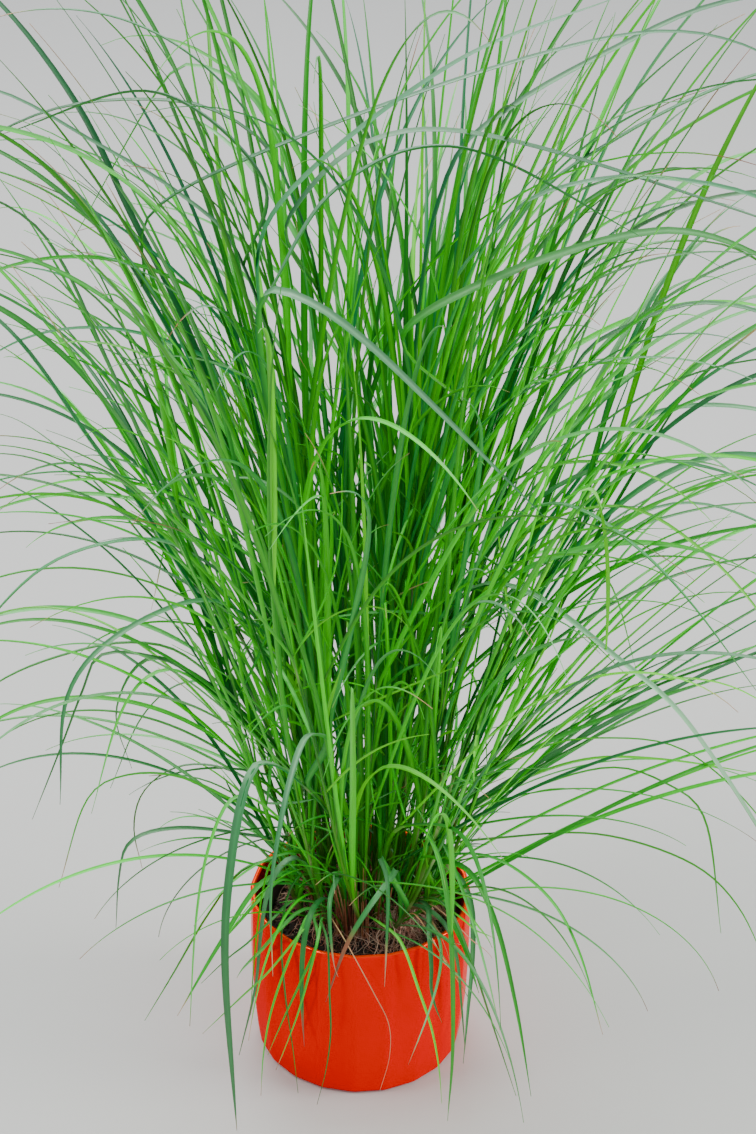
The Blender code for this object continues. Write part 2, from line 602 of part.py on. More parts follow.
def build_soil(parts):
    """The root ball: a turned plug whose top is sunk here and there below SOIL_TOP."""
    foot = POT_FLOOR + GAP + GROWING_POT_WALL + GAP
    wall = GROWING_POT_WALL + GAP
    taper = (GROWING_POT_RIM_RADIUS - 0.004 - GROWING_POT_FOOT_RADIUS) / (GROWING_POT_HEIGHT - 0.006)
    low = (GROWING_POT_FOOT_RADIUS - wall) * cos(pi / GROWING_POT_SIDES) - 0.0004
    high = low + taper * (SOIL_TOP - foot)
    profile = [(high * k / SOIL_RINGS, SOIL_TOP) for k in range(SOIL_RINGS + 1)]
    peat = material("peat", (0.035, 0.02, 0.012), 0.95)
    soil = turned("soil", [*profile, (low, foot), (0, foot)], SOIL_SIDES, parts, peat)
    graph = bpy.context.evaluated_depsgraph_get()
    soil.data = bpy.data.meshes.new_from_object(soil.evaluated_get(graph))
    soil.modifiers.clear()
    for vertex in soil.data.vertices:
        x, y, z = vertex.co
        in_crown = ((x - CROWN_X) / CROWN_REACH_X) ** 2 + ((y - CROWN_Y) / CROWN_REACH_Y) ** 2 < 1.25
        if z > SOIL_TOP - GAP and not in_crown:
            lump = 0.5 + 0.5 * noise.noise(Vector((x, y, 0.7)) * SOIL_NOISE)
            vertex.co.z = SOIL_TOP - SOIL_LUMP * lump
    return soil


def main():
    for found in list(bpy.data.objects):
        bpy.data.objects.remove(found)
    parts = collection("potted grass")
    helpers = collection("helpers")
    build_pot(parts)
    build_nursery_pot(parts)
    build_soil(parts)
    green = material("grass", (0.09, 0.30, 0.03), 0.5)
    for k, shoot in enumerate(grow_clump()):
        build_shoot(f"shoot_{k + 1:02}", shoot, parts, helpers, green)


main()
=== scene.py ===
"""The looks of a potted clump of ornamental grass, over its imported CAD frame. Metres, +Z up.

The blades follow the same centre lines as the frame's solids: the tables and the functions under
"Where the shoots go" are those that shaped the solids. Finer blades, sheaths, peat, roots and the
glaze are added here.
"""

from math import cos, pi, radians, sin

import bmesh
import bpy
import numpy as np
from mathutils import Matrix, Vector, kdtree, noise


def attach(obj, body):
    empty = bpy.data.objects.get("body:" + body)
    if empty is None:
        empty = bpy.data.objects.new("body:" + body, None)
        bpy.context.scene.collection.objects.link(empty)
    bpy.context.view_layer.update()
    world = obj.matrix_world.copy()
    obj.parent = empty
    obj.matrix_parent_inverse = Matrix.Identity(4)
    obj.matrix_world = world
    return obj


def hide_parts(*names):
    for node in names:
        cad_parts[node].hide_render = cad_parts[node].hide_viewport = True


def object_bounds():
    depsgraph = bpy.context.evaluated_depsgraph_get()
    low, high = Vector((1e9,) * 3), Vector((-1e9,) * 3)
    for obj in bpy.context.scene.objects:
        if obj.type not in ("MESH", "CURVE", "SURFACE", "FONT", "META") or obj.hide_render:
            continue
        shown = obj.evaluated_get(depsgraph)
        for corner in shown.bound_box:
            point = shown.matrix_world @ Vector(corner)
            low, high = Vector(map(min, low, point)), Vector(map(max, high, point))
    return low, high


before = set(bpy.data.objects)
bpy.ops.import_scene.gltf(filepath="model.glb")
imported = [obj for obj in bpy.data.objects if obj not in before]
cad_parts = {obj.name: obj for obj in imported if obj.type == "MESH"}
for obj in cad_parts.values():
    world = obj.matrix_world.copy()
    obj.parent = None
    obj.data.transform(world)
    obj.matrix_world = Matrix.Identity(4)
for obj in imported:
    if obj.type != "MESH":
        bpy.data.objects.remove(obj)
CAD_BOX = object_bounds()

# ---- Where the shoots go ----
# Each shoot is a list of strands, the stem first: the few points that its solid runs through, its
# fine line, and its row in the tables below. The sizes of the pots and the soil come first,
# because the blades keep clear of them.
POT_HEIGHT = 0.140
POT_RIM_RADIUS = 0.0867
POT_FOOT_RADIUS = 0.0803
POT_WALL_CURVE = 4
POT_WALL = 0.0042
POT_FLOOR = 0.008
POT_FACETS = 20
POT_TURN = radians(-2.5)
LIP_ROUND = POT_WALL / 2
FOOT_ROUND = 0.005

# The play round the growing pot and the soil.
GAP = 0.0003
GROWING_POT_HEIGHT = 0.118
GROWING_POT_RIM_RADIUS = 0.0758
GROWING_POT_FOOT_RADIUS = 0.060
GROWING_POT_WALL = 0.0011

SOIL_TOP = 0.115

# The crown is where the stems leave the soil, a little behind the middle of the pot.
CROWN_X, CROWN_Y = 0.004, 0.014
CROWN_REACH_X, CROWN_REACH_Y = 0.054, 0.046
CROWN_PLACES = 48
CROWN_SHARE_OF_REACH = 0.5
GOLDEN_ANGLE = 137.508

STEM_WIDTH = 0.0072
STEM_TOP_WIDTH = 0.0034
BLADE_WIDTH = 0.0052
TIP_WIDTH = 0.0007
OUTLINE_STEM_SEGMENTS, STEM_SEGMENTS = 8, 6
OUTLINE_BLADE_SEGMENTS, BLADE_SEGMENTS = 6, 4
FINE_STEPS = 60
STEPS_PER_KNOT = 16
BALL_STEP = 0.003
TURN_SHARE = 0.55
LEAST_TURN = 0.002
CLEARANCE = 0.0005
RIM_CLEARANCE = 0.004
LOWEST = 0.008
MOST_STRANDS = 5
SEED = 11

# Stems that give the clump its outline. Each row: the compass angle in degrees that it leans
# towards (0 is the viewer's right, 180 the left, -90 the front), how far that angle turns by the
# tip, and the points (distance out from the crown's middle, height) that it passes.
OUTLINE_STEMS = (
    (185, 0, (0.05, 0.36), (0.10, 0.52), (0.165, 0.665), (0.20, 0.72), (0.25, 0.765), (0.31, 0.79),
     (0.375, 0.80)),
    (182, 0, (0.05, 0.50), (0.09, 0.665), (0.13, 0.715), (0.19, 0.755), (0.25, 0.79), (0.32, 0.80),
     (0.385, 0.79)),
    (178, 0, (0.03, 0.58), (0.06, 0.725), (0.10, 0.77), (0.15, 0.78), (0.22, 0.77), (0.29, 0.73),
     (0.35, 0.67)),
    (172, 0, (0.06, 0.40), (0.13, 0.60), (0.17, 0.69), (0.20, 0.76), (0.24, 0.82), (0.28, 0.86),
     (0.33, 0.90)),
    (165, 0, (0.05, 0.40), (0.11, 0.69), (0.125, 0.77), (0.135, 0.84), (0.15, 0.92)),
    (150, 8, (0.03, 0.45), (0.06, 0.69), (0.09, 0.765), (0.13, 0.785), (0.16, 0.77), (0.235, 0.64)),
    (188, 0, (0.06, 0.28), (0.13, 0.45), (0.185, 0.60), (0.21, 0.67), (0.235, 0.71), (0.28, 0.735),
     (0.34, 0.75)),
    (196, 0, (0.08, 0.30), (0.16, 0.48), (0.20, 0.55), (0.25, 0.64), (0.31, 0.70), (0.37, 0.745)),
    (204, -6, (0.07, 0.33), (0.13, 0.45), (0.17, 0.48), (0.24, 0.47), (0.30, 0.41), (0.345, 0.34)),
    (170, 0, (0.06, 0.30), (0.13, 0.47), (0.155, 0.56), (0.21, 0.63), (0.28, 0.65), (0.35, 0.65)),
    (158, 0, (0.05, 0.35), (0.10, 0.50), (0.15, 0.58), (0.19, 0.63), (0.25, 0.66), (0.32, 0.68)),
    (30, 0, (0.05, 0.45), (0.08, 0.66), (0.10, 0.73), (0.14, 0.80), (0.19, 0.86), (0.235, 0.91)),
    (14, 0, (0.08, 0.48), (0.14, 0.67), (0.18, 0.77), (0.23, 0.84), (0.29, 0.89), (0.345, 0.925)),
    (5, 0, (0.05, 0.56), (0.10, 0.695), (0.16, 0.75), (0.25, 0.795), (0.34, 0.81), (0.41, 0.805)),
    (9, 0, (0.07, 0.46), (0.12, 0.635), (0.18, 0.71), (0.265, 0.76), (0.35, 0.78), (0.415, 0.78)),
    (-2, 0, (0.03, 0.58), (0.05, 0.73), (0.09, 0.78), (0.16, 0.825), (0.22, 0.855), (0.30, 0.87),
     (0.37, 0.87)),
    (18, 0, (0.08, 0.48), (0.14, 0.625), (0.18, 0.65), (0.23, 0.655), (0.28, 0.64), (0.34, 0.59),
     (0.39, 0.53)),
    (-6, 0, (0.08, 0.42), (0.14, 0.59), (0.18, 0.63), (0.23, 0.65), (0.29, 0.635), (0.35, 0.58),
     (0.395, 0.51)),
    (-14, 0, (0.04, 0.58), (0.09, 0.705), (0.14, 0.74), (0.20, 0.75), (0.27, 0.74), (0.35, 0.69),
     (0.41, 0.63)),
    (3, 0, (0.10, 0.33), (0.15, 0.44), (0.20, 0.55), (0.27, 0.615), (0.35, 0.65), (0.42, 0.66)),
    (-10, 0, (0.10, 0.36), (0.16, 0.47), (0.22, 0.53), (0.28, 0.545), (0.36, 0.52), (0.42, 0.475)),
    (8, 0, (0.10, 0.24), (0.16, 0.33), (0.22, 0.40), (0.29, 0.44), (0.37, 0.45), (0.43, 0.44)),
    (-28, 0, (0.03, 0.28), (0.07, 0.41), (0.12, 0.44), (0.20, 0.405), (0.26, 0.365), (0.35, 0.25),
     (0.38, 0.17)),
    (-40, 0, (0.04, 0.33), (0.10, 0.465), (0.14, 0.522), (0.18, 0.540), (0.232, 0.529), (0.28, 0.503),
     (0.34, 0.455)),
    (-118, 0, (0.05, 0.22), (0.10, 0.29), (0.145, 0.335), (0.175, 0.342), (0.20, 0.285),
     (0.211, 0.20), (0.20, 0.035)),
    (-66, 0, (0.04, 0.20), (0.09, 0.25), (0.13, 0.25), (0.155, 0.20), (0.165, 0.10), (0.16, 0.02)),
    (-152, 90, (0.05, 0.38), (0.095, 0.59), (0.134, 0.69), (0.146, 0.702), (0.155, 0.682),
     (0.183, 0.646), (0.241, 0.585)),
)

# Lower leaves that hang or spread clear of the clump, in the same form. Each one grows from the
# stem that stands nearest to its way.
OUTLINE_LEAVES = (
    (-108, 0, (0.10, 0.33), (0.15, 0.37), (0.185, 0.36), (0.213, 0.33), (0.232, 0.29), (0.231, 0.22)),
    (-22, 0, (0.045, 0.43), (0.075, 0.452), (0.11, 0.44), (0.15, 0.415), (0.20, 0.375)),
    (-137, 0, (0.09, 0.24), (0.13, 0.28), (0.155, 0.25), (0.17, 0.19), (0.18, 0.09)),
    (-130, -12, (0.074, 0.200), (0.092, 0.204), (0.103, 0.18), (0.107, 0.14), (0.110, 0.085), (0.124, 0.022)),
    (-132, 0, (0.06, 0.19), (0.10, 0.215), (0.115, 0.19), (0.125, 0.13), (0.13, 0.08)),
    (-134, 19, (0.06, 0.175), (0.088, 0.178), (0.106, 0.147), (0.111, 0.095), (0.113, 0.05), (0.119, 0.012)),
    (-116, 4, (0.06, 0.16), (0.085, 0.168), (0.102, 0.152), (0.11, 0.12), (0.112, 0.085), (0.112, 0.054)),
    (-108, 8, (0.06, 0.182), (0.085, 0.19), (0.103, 0.188), (0.11, 0.165), (0.112, 0.14), (0.113, 0.13)),
    (-72, -39, (0.056, 0.185), (0.074, 0.196), (0.09, 0.197), (0.104, 0.187), (0.11, 0.158), (0.112, 0.103)),
    (-79, -3, (0.06, 0.203), (0.088, 0.209), (0.104, 0.20), (0.108, 0.176), (0.11, 0.145), (0.111, 0.12)),
    (-64, 13, (0.055, 0.15), (0.075, 0.158), (0.096, 0.15), (0.104, 0.12), (0.105, 0.08), (0.107, 0.03)),
    (-22, -24, (0.055, 0.16), (0.075, 0.165), (0.092, 0.147), (0.099, 0.105), (0.102, 0.06), (0.106, 0.012)),
    (-46, 0, (0.06, 0.18), (0.10, 0.20), (0.13, 0.17), (0.155, 0.10), (0.175, 0.02)),
    (-32, 0, (0.06, 0.18), (0.11, 0.205), (0.16, 0.19), (0.19, 0.15), (0.215, 0.08)),
    (-20, 0, (0.05, 0.17), (0.11, 0.195), (0.18, 0.21), (0.25, 0.195), (0.29, 0.16), (0.32, 0.10)),
    (-5, 0, (0.07, 0.22), (0.13, 0.275), (0.18, 0.29), (0.24, 0.285), (0.30, 0.23), (0.33, 0.17)),
    (2, 0, (0.06, 0.18), (0.10, 0.22), (0.165, 0.25), (0.23, 0.25), (0.31, 0.235)),
    (-8, 0, (0.10, 0.22), (0.18, 0.265), (0.23, 0.255), (0.26, 0.225), (0.28, 0.12)),
    (14, 0, (0.07, 0.19), (0.14, 0.23), (0.22, 0.28), (0.31, 0.33), (0.39, 0.35)),
    (6, 0, (0.08, 0.27), (0.115, 0.35), (0.15, 0.42), (0.20, 0.46), (0.25, 0.465), (0.32, 0.43),
     (0.38, 0.38)),
    (0, 0, (0.10, 0.40), (0.14, 0.48), (0.18, 0.54), (0.23, 0.56), (0.30, 0.55), (0.36, 0.51), (0.41, 0.455)),
    (-24, 0, (0.08, 0.40), (0.12, 0.48), (0.19, 0.52), (0.25, 0.50), (0.30, 0.455), (0.33, 0.40)),
    (188, 0, (0.07, 0.27), (0.13, 0.35), (0.17, 0.37), (0.22, 0.365), (0.28, 0.34), (0.34, 0.28)),
    (194, 0, (0.08, 0.29), (0.14, 0.36), (0.20, 0.385), (0.215, 0.36), (0.235, 0.31), (0.26, 0.25)),
    (199, 0, (0.08, 0.28), (0.14, 0.36), (0.17, 0.37), (0.195, 0.34), (0.22, 0.26)),
    (184, 0, (0.08, 0.27), (0.14, 0.34), (0.17, 0.345), (0.19, 0.30), (0.18, 0.25)),
    (200, 0, (0.06, 0.20), (0.11, 0.24), (0.15, 0.27), (0.19, 0.28), (0.22, 0.265), (0.245, 0.19)),
    (186, 0, (0.06, 0.20), (0.10, 0.245), (0.14, 0.255), (0.17, 0.235), (0.18, 0.20), (0.175, 0.16)),
    (196, 0, (0.06, 0.18), (0.10, 0.20), (0.15, 0.215), (0.185, 0.21), (0.195, 0.18), (0.20, 0.13)),
    (210, 0, (0.08, 0.38), (0.13, 0.43), (0.20, 0.42), (0.24, 0.38), (0.25, 0.29)),
    (-158, 0, (0.06, 0.17), (0.10, 0.175), (0.13, 0.14), (0.16, 0.09), (0.185, 0.05)),
    (-142, 0, (0.06, 0.17), (0.10, 0.18), (0.14, 0.14), (0.18, 0.09)),
    (40, 0, (0.07, 0.28), (0.13, 0.36), (0.19, 0.37), (0.25, 0.32), (0.29, 0.22)),
    (62, 0, (0.06, 0.20), (0.11, 0.25), (0.16, 0.25), (0.20, 0.19), (0.22, 0.10)),
    (84, 0, (0.07, 0.30), (0.12, 0.40), (0.18, 0.43), (0.24, 0.38), (0.29, 0.28)),
    (104, 0, (0.06, 0.19), (0.10, 0.23), (0.14, 0.22), (0.17, 0.15), (0.185, 0.05)),
    (128, 0, (0.08, 0.32), (0.14, 0.40), (0.20, 0.41), (0.26, 0.35), (0.30, 0.24)),
    (146, 0, (0.06, 0.21), (0.11, 0.26), (0.17, 0.26), (0.22, 0.21), (0.26, 0.12)),
)

# Stems whose way isn't told by the outline are drawn at random within these bounds. Angles are
# in degrees from upright. A stem splays at the soil, straightens, then its top blade droops.
STEM_LENGTH = (0.50, 0.80)
STEM_LEAN_MIDDLE, STEM_LEAN_EDGE, STEM_LEAN_SPREAD = 2.0, 17.0, 2.5
BASE_SPLAY, BASE_SPLAY_REACH = 1.0, 0.08
STEM_DROOP = (30, 100)
STEM_BEND = (2.2, 4.2)
LEAVES_PER_STEM = 3
LEAF_LENGTH = (0.32, 0.62)
LEAF_PARTING = (5, 22)
LEAF_DROOP = (35, 110)
LEAF_BEND = (1.7, 3.4)
LEAF_FROM = (0.04, 0.42)
LEAF_TIP_LOWEST = 0.30
REACH, TALLEST = 0.41, 0.97
STEM_WAVER, LEAF_WAVER = 14, 22
TRIES = 60

# Where the tables leave no clear way, these turns in degrees and these neighbours are tried.
STEM_NUDGES = (0, 2, -2, 4, -4, 6, -6, 8, -8)
LEAF_NUDGES = (0, 2, -2, 4, -4, 6, -6, 9, -9)
PLACES_TRIED, STEMS_TRIED = 14, 8
# How far below its first point a leaf leaves its stem, and the least that it rises.
LEAF_DROPS = (0.045, 0.065, 0.03)
LEAF_RISE = 0.02


# ---- Centre lines ----
def resampled(line, count):
    """A line as count + 1 points at equal steps along it."""
    along = np.concatenate([[0], np.cumsum(np.linalg.norm(np.diff(line, axis=0), axis=1))])
    at = np.linspace(0, along[-1], count + 1)
    return np.stack([np.interp(at, along, line[:, k]) for k in range(3)], axis=1)


def smooth_line(points):
    """A Catmull-Rom curve through the given points, as many short steps of equal length."""
    knots = np.array(points, float)
    knots = np.vstack([2 * knots[0] - knots[1], knots, 2 * knots[-1] - knots[-2]])
    u = np.linspace(0, 1, STEPS_PER_KNOT, endpoint=False)[:, None]
    fine = []
    for a, b, c, d in zip(knots, knots[1:], knots[2:], knots[3:]):
        fine.append(
            0.5 * (2 * b + (c - a) * u + (2 * a - 5 * b + 4 * c - d) * u**2 + (3 * b - a - 3 * c + d) * u**3)
        )
    return resampled(np.vstack([*fine, knots[-2:-1]]), FINE_STEPS)


def leaning_line(start, azimuth, turn, lean, droop, length, bend, splay=0):
    """A line that leaves start leaning lean degrees from upright and droops by as many more."""
    t = (np.arange(FINE_STEPS) + 0.5) / FINE_STEPS
    tilt = np.radians(lean * (1 + splay * np.exp(-t / BASE_SPLAY_REACH)) + droop * t**bend)
    way = np.radians(azimuth + turn * t)
    steps = np.stack([np.sin(tilt) * np.cos(way), np.sin(tilt) * np.sin(way), np.cos(tilt)], axis=1)
    return np.vstack([start, start + np.cumsum(steps, axis=0) * length / FINE_STEPS])


def parted_from(stem, at, side, out):
    """Where a leaf parts from a stem, so many steps along it, and its azimuth and lean there."""
    low = int(at)
    along = stem[low + 1] - stem[low]
    start = stem[low] + along * (at - low)
    away = along / np.linalg.norm(along) + out * np.array([cos(side), sin(side), 0])
    azimuth = np.degrees(np.arctan2(away[1], away[0]))
    lean = np.degrees(np.arctan2(np.hypot(away[0], away[1]), away[2]))
    return start, azimuth, lean


def few_points(line, widths, count):
    """The count + 1 points that keep a fine line's shape best: closer together where it turns."""
    steps = np.diff(line, axis=0)
    length = np.linalg.norm(steps, axis=1)
    ways = steps / length[:, None]
    turns = np.arccos(np.clip((ways[1:] * ways[:-1]).sum(axis=1), -1, 1))
    turns = np.concatenate([[0], turns]) + LEAST_TURN
    share = (1 - TURN_SHARE) * length / length.sum() + TURN_SHARE * turns / turns.sum()
    along = np.concatenate([[0], np.cumsum(share)])
    at = np.linspace(0, along[-1], count + 1)
    points = np.stack([np.interp(at, along, line[:, k]) for k in range(3)], axis=1)
    return points, np.interp(at, along, widths)


def row_points(row, nudge):
    """The points in space that a row of the outline tables stands for, turned by nudge degrees."""
    azimuth, turn, *places = row
    points = []
    for k, (out, height) in enumerate(places):
        way = radians(azimuth + nudge + turn * k / (len(places) - 1))
        points.append((CROWN_X + out * cos(way), CROWN_Y + out * sin(way), height))
    return points


def stem_widths():
    """A stem is widest at the soil, thin where its last sheath ends, then carries its top blade."""
    return np.interp(
        np.linspace(0, 1, FINE_STEPS + 1),
        (0, 0.03, 0.12, 0.32, 0.45, 0.62, 0.85, 1),
        (
            STEM_WIDTH * 0.7, STEM_WIDTH, STEM_WIDTH * 0.8, STEM_TOP_WIDTH * 1.2, STEM_TOP_WIDTH,
            BLADE_WIDTH * 0.85, BLADE_WIDTH * 0.45, TIP_WIDTH,
        ),
    )


def blade_widths(width):
    return np.interp(
        np.linspace(0, 1, FINE_STEPS + 1),
        (0, 0.15, 0.40, 0.75, 1),
        (0.3 * width, 0.85 * width, width, 0.55 * width, TIP_WIDTH),
    )


# ---- Keeping the shoots apart ----
class Space:
    """What is already taken: balls along every line, each with the shoot that it belongs to."""

    def __init__(self):
        self.centres, self.balls = [], []
        self.tree = None

    @staticmethod
    def balls_along(line, widths):
        found = []
        for a, b, wa, wb in zip(line, line[1:], widths, widths[1:]):
            steps = max(2, int(np.linalg.norm(b - a) / BALL_STEP))
            for k in range(steps):
                t = k / steps
                found.append((a + (b - a) * t, (wa + (wb - wa) * t) / 2))
        return found

    def is_clear(self, shoot, line, widths):
        if not clears_the_pot(line):
            return False
        if self.tree is None:
            return True
        for centre, radius in self.balls_along(line, widths):
            for _, index, distance in self.tree.find_range(centre, radius + STEM_WIDTH / 2 + CLEARANCE):
                other, other_radius = self.balls[index]
                if other != shoot and distance < radius + other_radius + CLEARANCE:
                    return False
        return True

    def take(self, shoot, line, widths):
        for centre, radius in self.balls_along(line, widths):
            self.centres.append(centre)
            self.balls.append((shoot, radius))
        self.tree = kdtree.KDTree(len(self.centres))
        for index, centre in enumerate(self.centres):
            self.tree.insert(centre, index)
        self.tree.balance()


def clears_the_pot(line):
    """True if a line keeps off the floor and passes over the pot's rim, not through its wall."""
    fine = np.vstack([a + (b - a) * t for a, b in zip(line, line[1:]) for t in np.linspace(0, 1, 12)])
    out, height = np.hypot(fine[:, 0], fine[:, 1]), fine[:, 2]
    in_wall = (out > GROWING_POT_RIM_RADIUS - 1.5 * RIM_CLEARANCE) & (out < POT_RIM_RADIUS + RIM_CLEARANCE)
    return bool(height.min() > LOWEST and not (in_wall & (height < POT_HEIGHT + RIM_CLEARANCE)).any())


def point_at_height(line, height):
    """Where a line first rises to the given height."""
    for a, b in zip(line, line[1:]):
        if a[2] <= height < b[2]:
            return a + (b - a) * (height - a[2]) / (b[2] - a[2])
    return line[1]


def in_bounds(line):
    reach = np.hypot(line[:, 0] - CROWN_X, line[:, 1] - CROWN_Y).max()
    return line[-1, 2] > LEAF_TIP_LOWEST and reach < REACH and line[:, 2].max() < TALLEST


# ---- Where the stems and blades go ----
def crown_point(share, way):
    """The place at a share of the crown's reach, in the direction of way in radians."""
    return CROWN_X + CROWN_REACH_X * share * cos(way), CROWN_Y + CROWN_REACH_Y * share * sin(way)


def crown_places():
    """Places on the soil, spread evenly over the crown in a spiral, as (x, y, share of the way out)."""
    places = []
    for k in range(CROWN_PLACES):
        share = ((k + 0.5) / CROWN_PLACES) ** 0.5
        places.append((*crown_point(share, radians(k * GOLDEN_ANGLE)), share))
    return places


def stem_start(place):
    return np.array([place[0], place[1], SOIL_TOP + GAP * 3])


def way_for_stem(space, free, shoot, row):
    """The free place near an outline stem's foot, and the line from it, that keep clear."""
    wanted, reach = radians(row[0]), CROWN_SHARE_OF_REACH * row[2][0]
    x, y = CROWN_X + reach * cos(wanted), CROWN_Y + reach * sin(wanted)
    nearest = sorted(free, key=lambda p: np.hypot(p[0] - x, p[1] - y))
    for place in nearest[:PLACES_TRIED]:
        for nudge in STEM_NUDGES:
            fine = smooth_line([stem_start(place), *row_points(row, nudge)])
            line, widths = few_points(fine, stem_widths(), OUTLINE_STEM_SEGMENTS)
            if space.is_clear(shoot, line, widths):
                return place, line, widths, fine
    return None


def place_outline_stems(space, free, shoots):
    for number, row in enumerate(OUTLINE_STEMS):
        found = way_for_stem(space, free, len(shoots), row)
        if found is None:
            print("no room for", row[0], row[2])
            continue
        place, line, widths, fine = found
        free.remove(place)
        space.take(len(shoots), line, widths)
        shoots.append([(line, fine, number)])


def place_other_stems(space, free, shoots):
    """Fills the rest of the crown with stems that lean outwards from its middle."""
    for number, place in enumerate(crown_places()):
        if place not in free:
            continue
        rng = np.random.default_rng((SEED, number))
        x, y, share = place
        for _ in range(TRIES):
            azimuth = np.degrees(np.arctan2(y - CROWN_Y, x - CROWN_X)) + rng.normal(0, STEM_WAVER)
            lean = STEM_LEAN_MIDDLE + (STEM_LEAN_EDGE - STEM_LEAN_MIDDLE) * share**1.3
            lean = max(0.5, lean + rng.normal(0, STEM_LEAN_SPREAD))
            fine = leaning_line(
                stem_start(place), azimuth, rng.normal(0, STEM_WAVER), lean, rng.uniform(*STEM_DROOP),
                rng.uniform(*STEM_LENGTH), rng.uniform(*STEM_BEND), BASE_SPLAY,
            )
            line, widths = few_points(fine, stem_widths(), STEM_SEGMENTS)
            if in_bounds(line) and space.is_clear(len(shoots), line, widths):
                space.take(len(shoots), line, widths)
                shoots.append([(line, fine, None)])
                break
        else:
            print("no stem at", place)


def distance_to_stem(line, target):
    """How near the part of a stem that is lower than a leaf's first point comes to that point."""
    low = line[line[:, 2] < target[2] - LEAF_RISE]
    return np.linalg.norm(low - target, axis=1).min() if len(low) else np.inf


def way_for_leaf(space, shoots, row):
    """The stem nearest to an outline leaf's way, and the line from it, that keep clear."""
    target = np.array(row_points(row, 0)[0])
    with_room = [k for k in range(len(shoots)) if len(shoots[k]) < MOST_STRANDS]
    nearest = sorted(with_room, key=lambda k: distance_to_stem(shoots[k][0][0], target))
    for k in nearest[:STEMS_TRIED]:
        for nudge in LEAF_NUDGES:
            for drop in LEAF_DROPS:
                points = row_points(row, nudge)
                start = point_at_height(shoots[k][0][0], max(SOIL_TOP + LEAF_RISE, points[0][2] - drop))
                fine = smooth_line([start, *points])
                line, widths = few_points(fine, blade_widths(BLADE_WIDTH), OUTLINE_BLADE_SEGMENTS)
                if space.is_clear(k, line, widths):
                    return k, line, widths, fine
    return None


def place_outline_leaves(space, shoots):
    for number, row in enumerate(OUTLINE_LEAVES):
        found = way_for_leaf(space, shoots, row)
        if found is None:
            print("no room for leaf", row[0], row[2])
            continue
        k, line, widths, fine = found
        space.take(k, line, widths)
        shoots[k].append((line, fine, number))


def place_other_leaves(space, shoots):
    for k, shoot in enumerate(shoots):
        rng = np.random.default_rng((SEED, CROWN_PLACES + k))
        stem = shoot[0][0]
        for n in range(LEAVES_PER_STEM - len(shoot) + 1):
            for _ in range(TRIES):
                at = rng.uniform(*LEAF_FROM) * STEM_SEGMENTS
                side = radians(rng.uniform(0, 360))
                out = np.tan(radians(rng.uniform(*LEAF_PARTING)))
                start, azimuth, lean = parted_from(stem, at, side, out)
                width = BLADE_WIDTH * rng.uniform(0.75, 1.1)
                fine = leaning_line(
                    start, azimuth, rng.normal(0, LEAF_WAVER), lean, rng.uniform(*LEAF_DROOP),
                    rng.uniform(*LEAF_LENGTH), rng.uniform(*LEAF_BEND),
                )
                line, widths = few_points(fine, blade_widths(width), BLADE_SEGMENTS)
                if in_bounds(line) and space.is_clear(k, line, widths):
                    space.take(k, line, widths)
                    shoot.append((line, fine, None))
                    break


def grow_clump():
    space, shoots, free = Space(), [], crown_places()
    place_outline_stems(space, free, shoots)
    place_other_stems(space, free, shoots)
    place_outline_leaves(space, shoots)
    place_other_leaves(space, shoots)
    return shoots


# ---- Looks of the blades ----
# Colours are sRGB, 0 to 255, the way a colour picker shows them.
BRIGHT = (60, 212, 0)
MIDDLE = (36, 176, 0)
DEEP = (22, 134, 10)
BLUISH = (30, 134, 66)
LIME = (100, 216, 0)
SHEATH = (84, 160, 10)
SHEATH_FOOT = (126, 116, 50)
# Painted highlight: the pale colour that arching upper faces are painted towards.
PAINTED_SHEEN = (150, 204, 160)
DRY = (196, 156, 112)
RUST = (150, 92, 60)
PINK = (220, 148, 106)
COLLAR = (196, 206, 140)
ROOT_COLOURS = ((240, 200, 176), (226, 168, 146), (200, 138, 112), (170, 116, 84))
SCRAP_COLOURS = ((196, 124, 84), (168, 92, 62), (216, 164, 120), (132, 76, 52))
TONES = (("bright", 0.28), ("middle", 0.30), ("deep", 0.20), ("bluish", 0.17), ("lime", 0.05))
TONE_COLOURS = {
    "bright": BRIGHT, "middle": MIDDLE, "deep": DEEP, "bluish": BLUISH, "lime": LIME, "pink": PINK,
}

LEAF_WIDTH = (0.0036, 0.0060)
LEAF_THICKNESS = 0.00032
LEAF_RINGS = 40
YOUNG_RINGS = 20
# A blade's section: places across it, and how many thicknesses each lies below the upper face.
BLADE_SECTION = (
    (-1.0, 0), (-0.5, 0), (0.0, 0), (0.5, 0), (1.0, 0), (0.55, 1.0), (0.0, 1.9), (-0.55, 1.0),
)
BLADE_EDGES = (0, 4)
# A dressed stem ends at the first of these shares of its line, and its top blade starts at the
# second, inside the last sheath.
STEM_ENDS, TOP_BLADE_STARTS = 0.52, 0.36
STEM_RINGS, STEM_SIDES = 34, 12
SHEATH_SIZE = (0.0040, 0.0062)
# High up the blades lose these shares of red, green and blue, and low in the clump these, as painted shade.
HIGH_UP, HIGH_LOSS = (0.42, 0.92), (0.50, 0.42, 0.05)
LOW_DOWN, LOW_PAINTED_SHADE = (0.42, 0.16), (0.32, 0.16, 0.55)
# Leaves between those of the solids, for each shoot: how many, where along the stem they part, by
# how many degrees, how far they droop, how long they are and how far out they may reach.
EXTRA_LEAVES = (
    (5, (0.03, 0.42), (2, 8), (10, 72), (0.34, 0.64), 0.27),
    (3, (0.03, 0.45), (4, 20), (45, 115), (0.24, 0.50), 0.34),
)
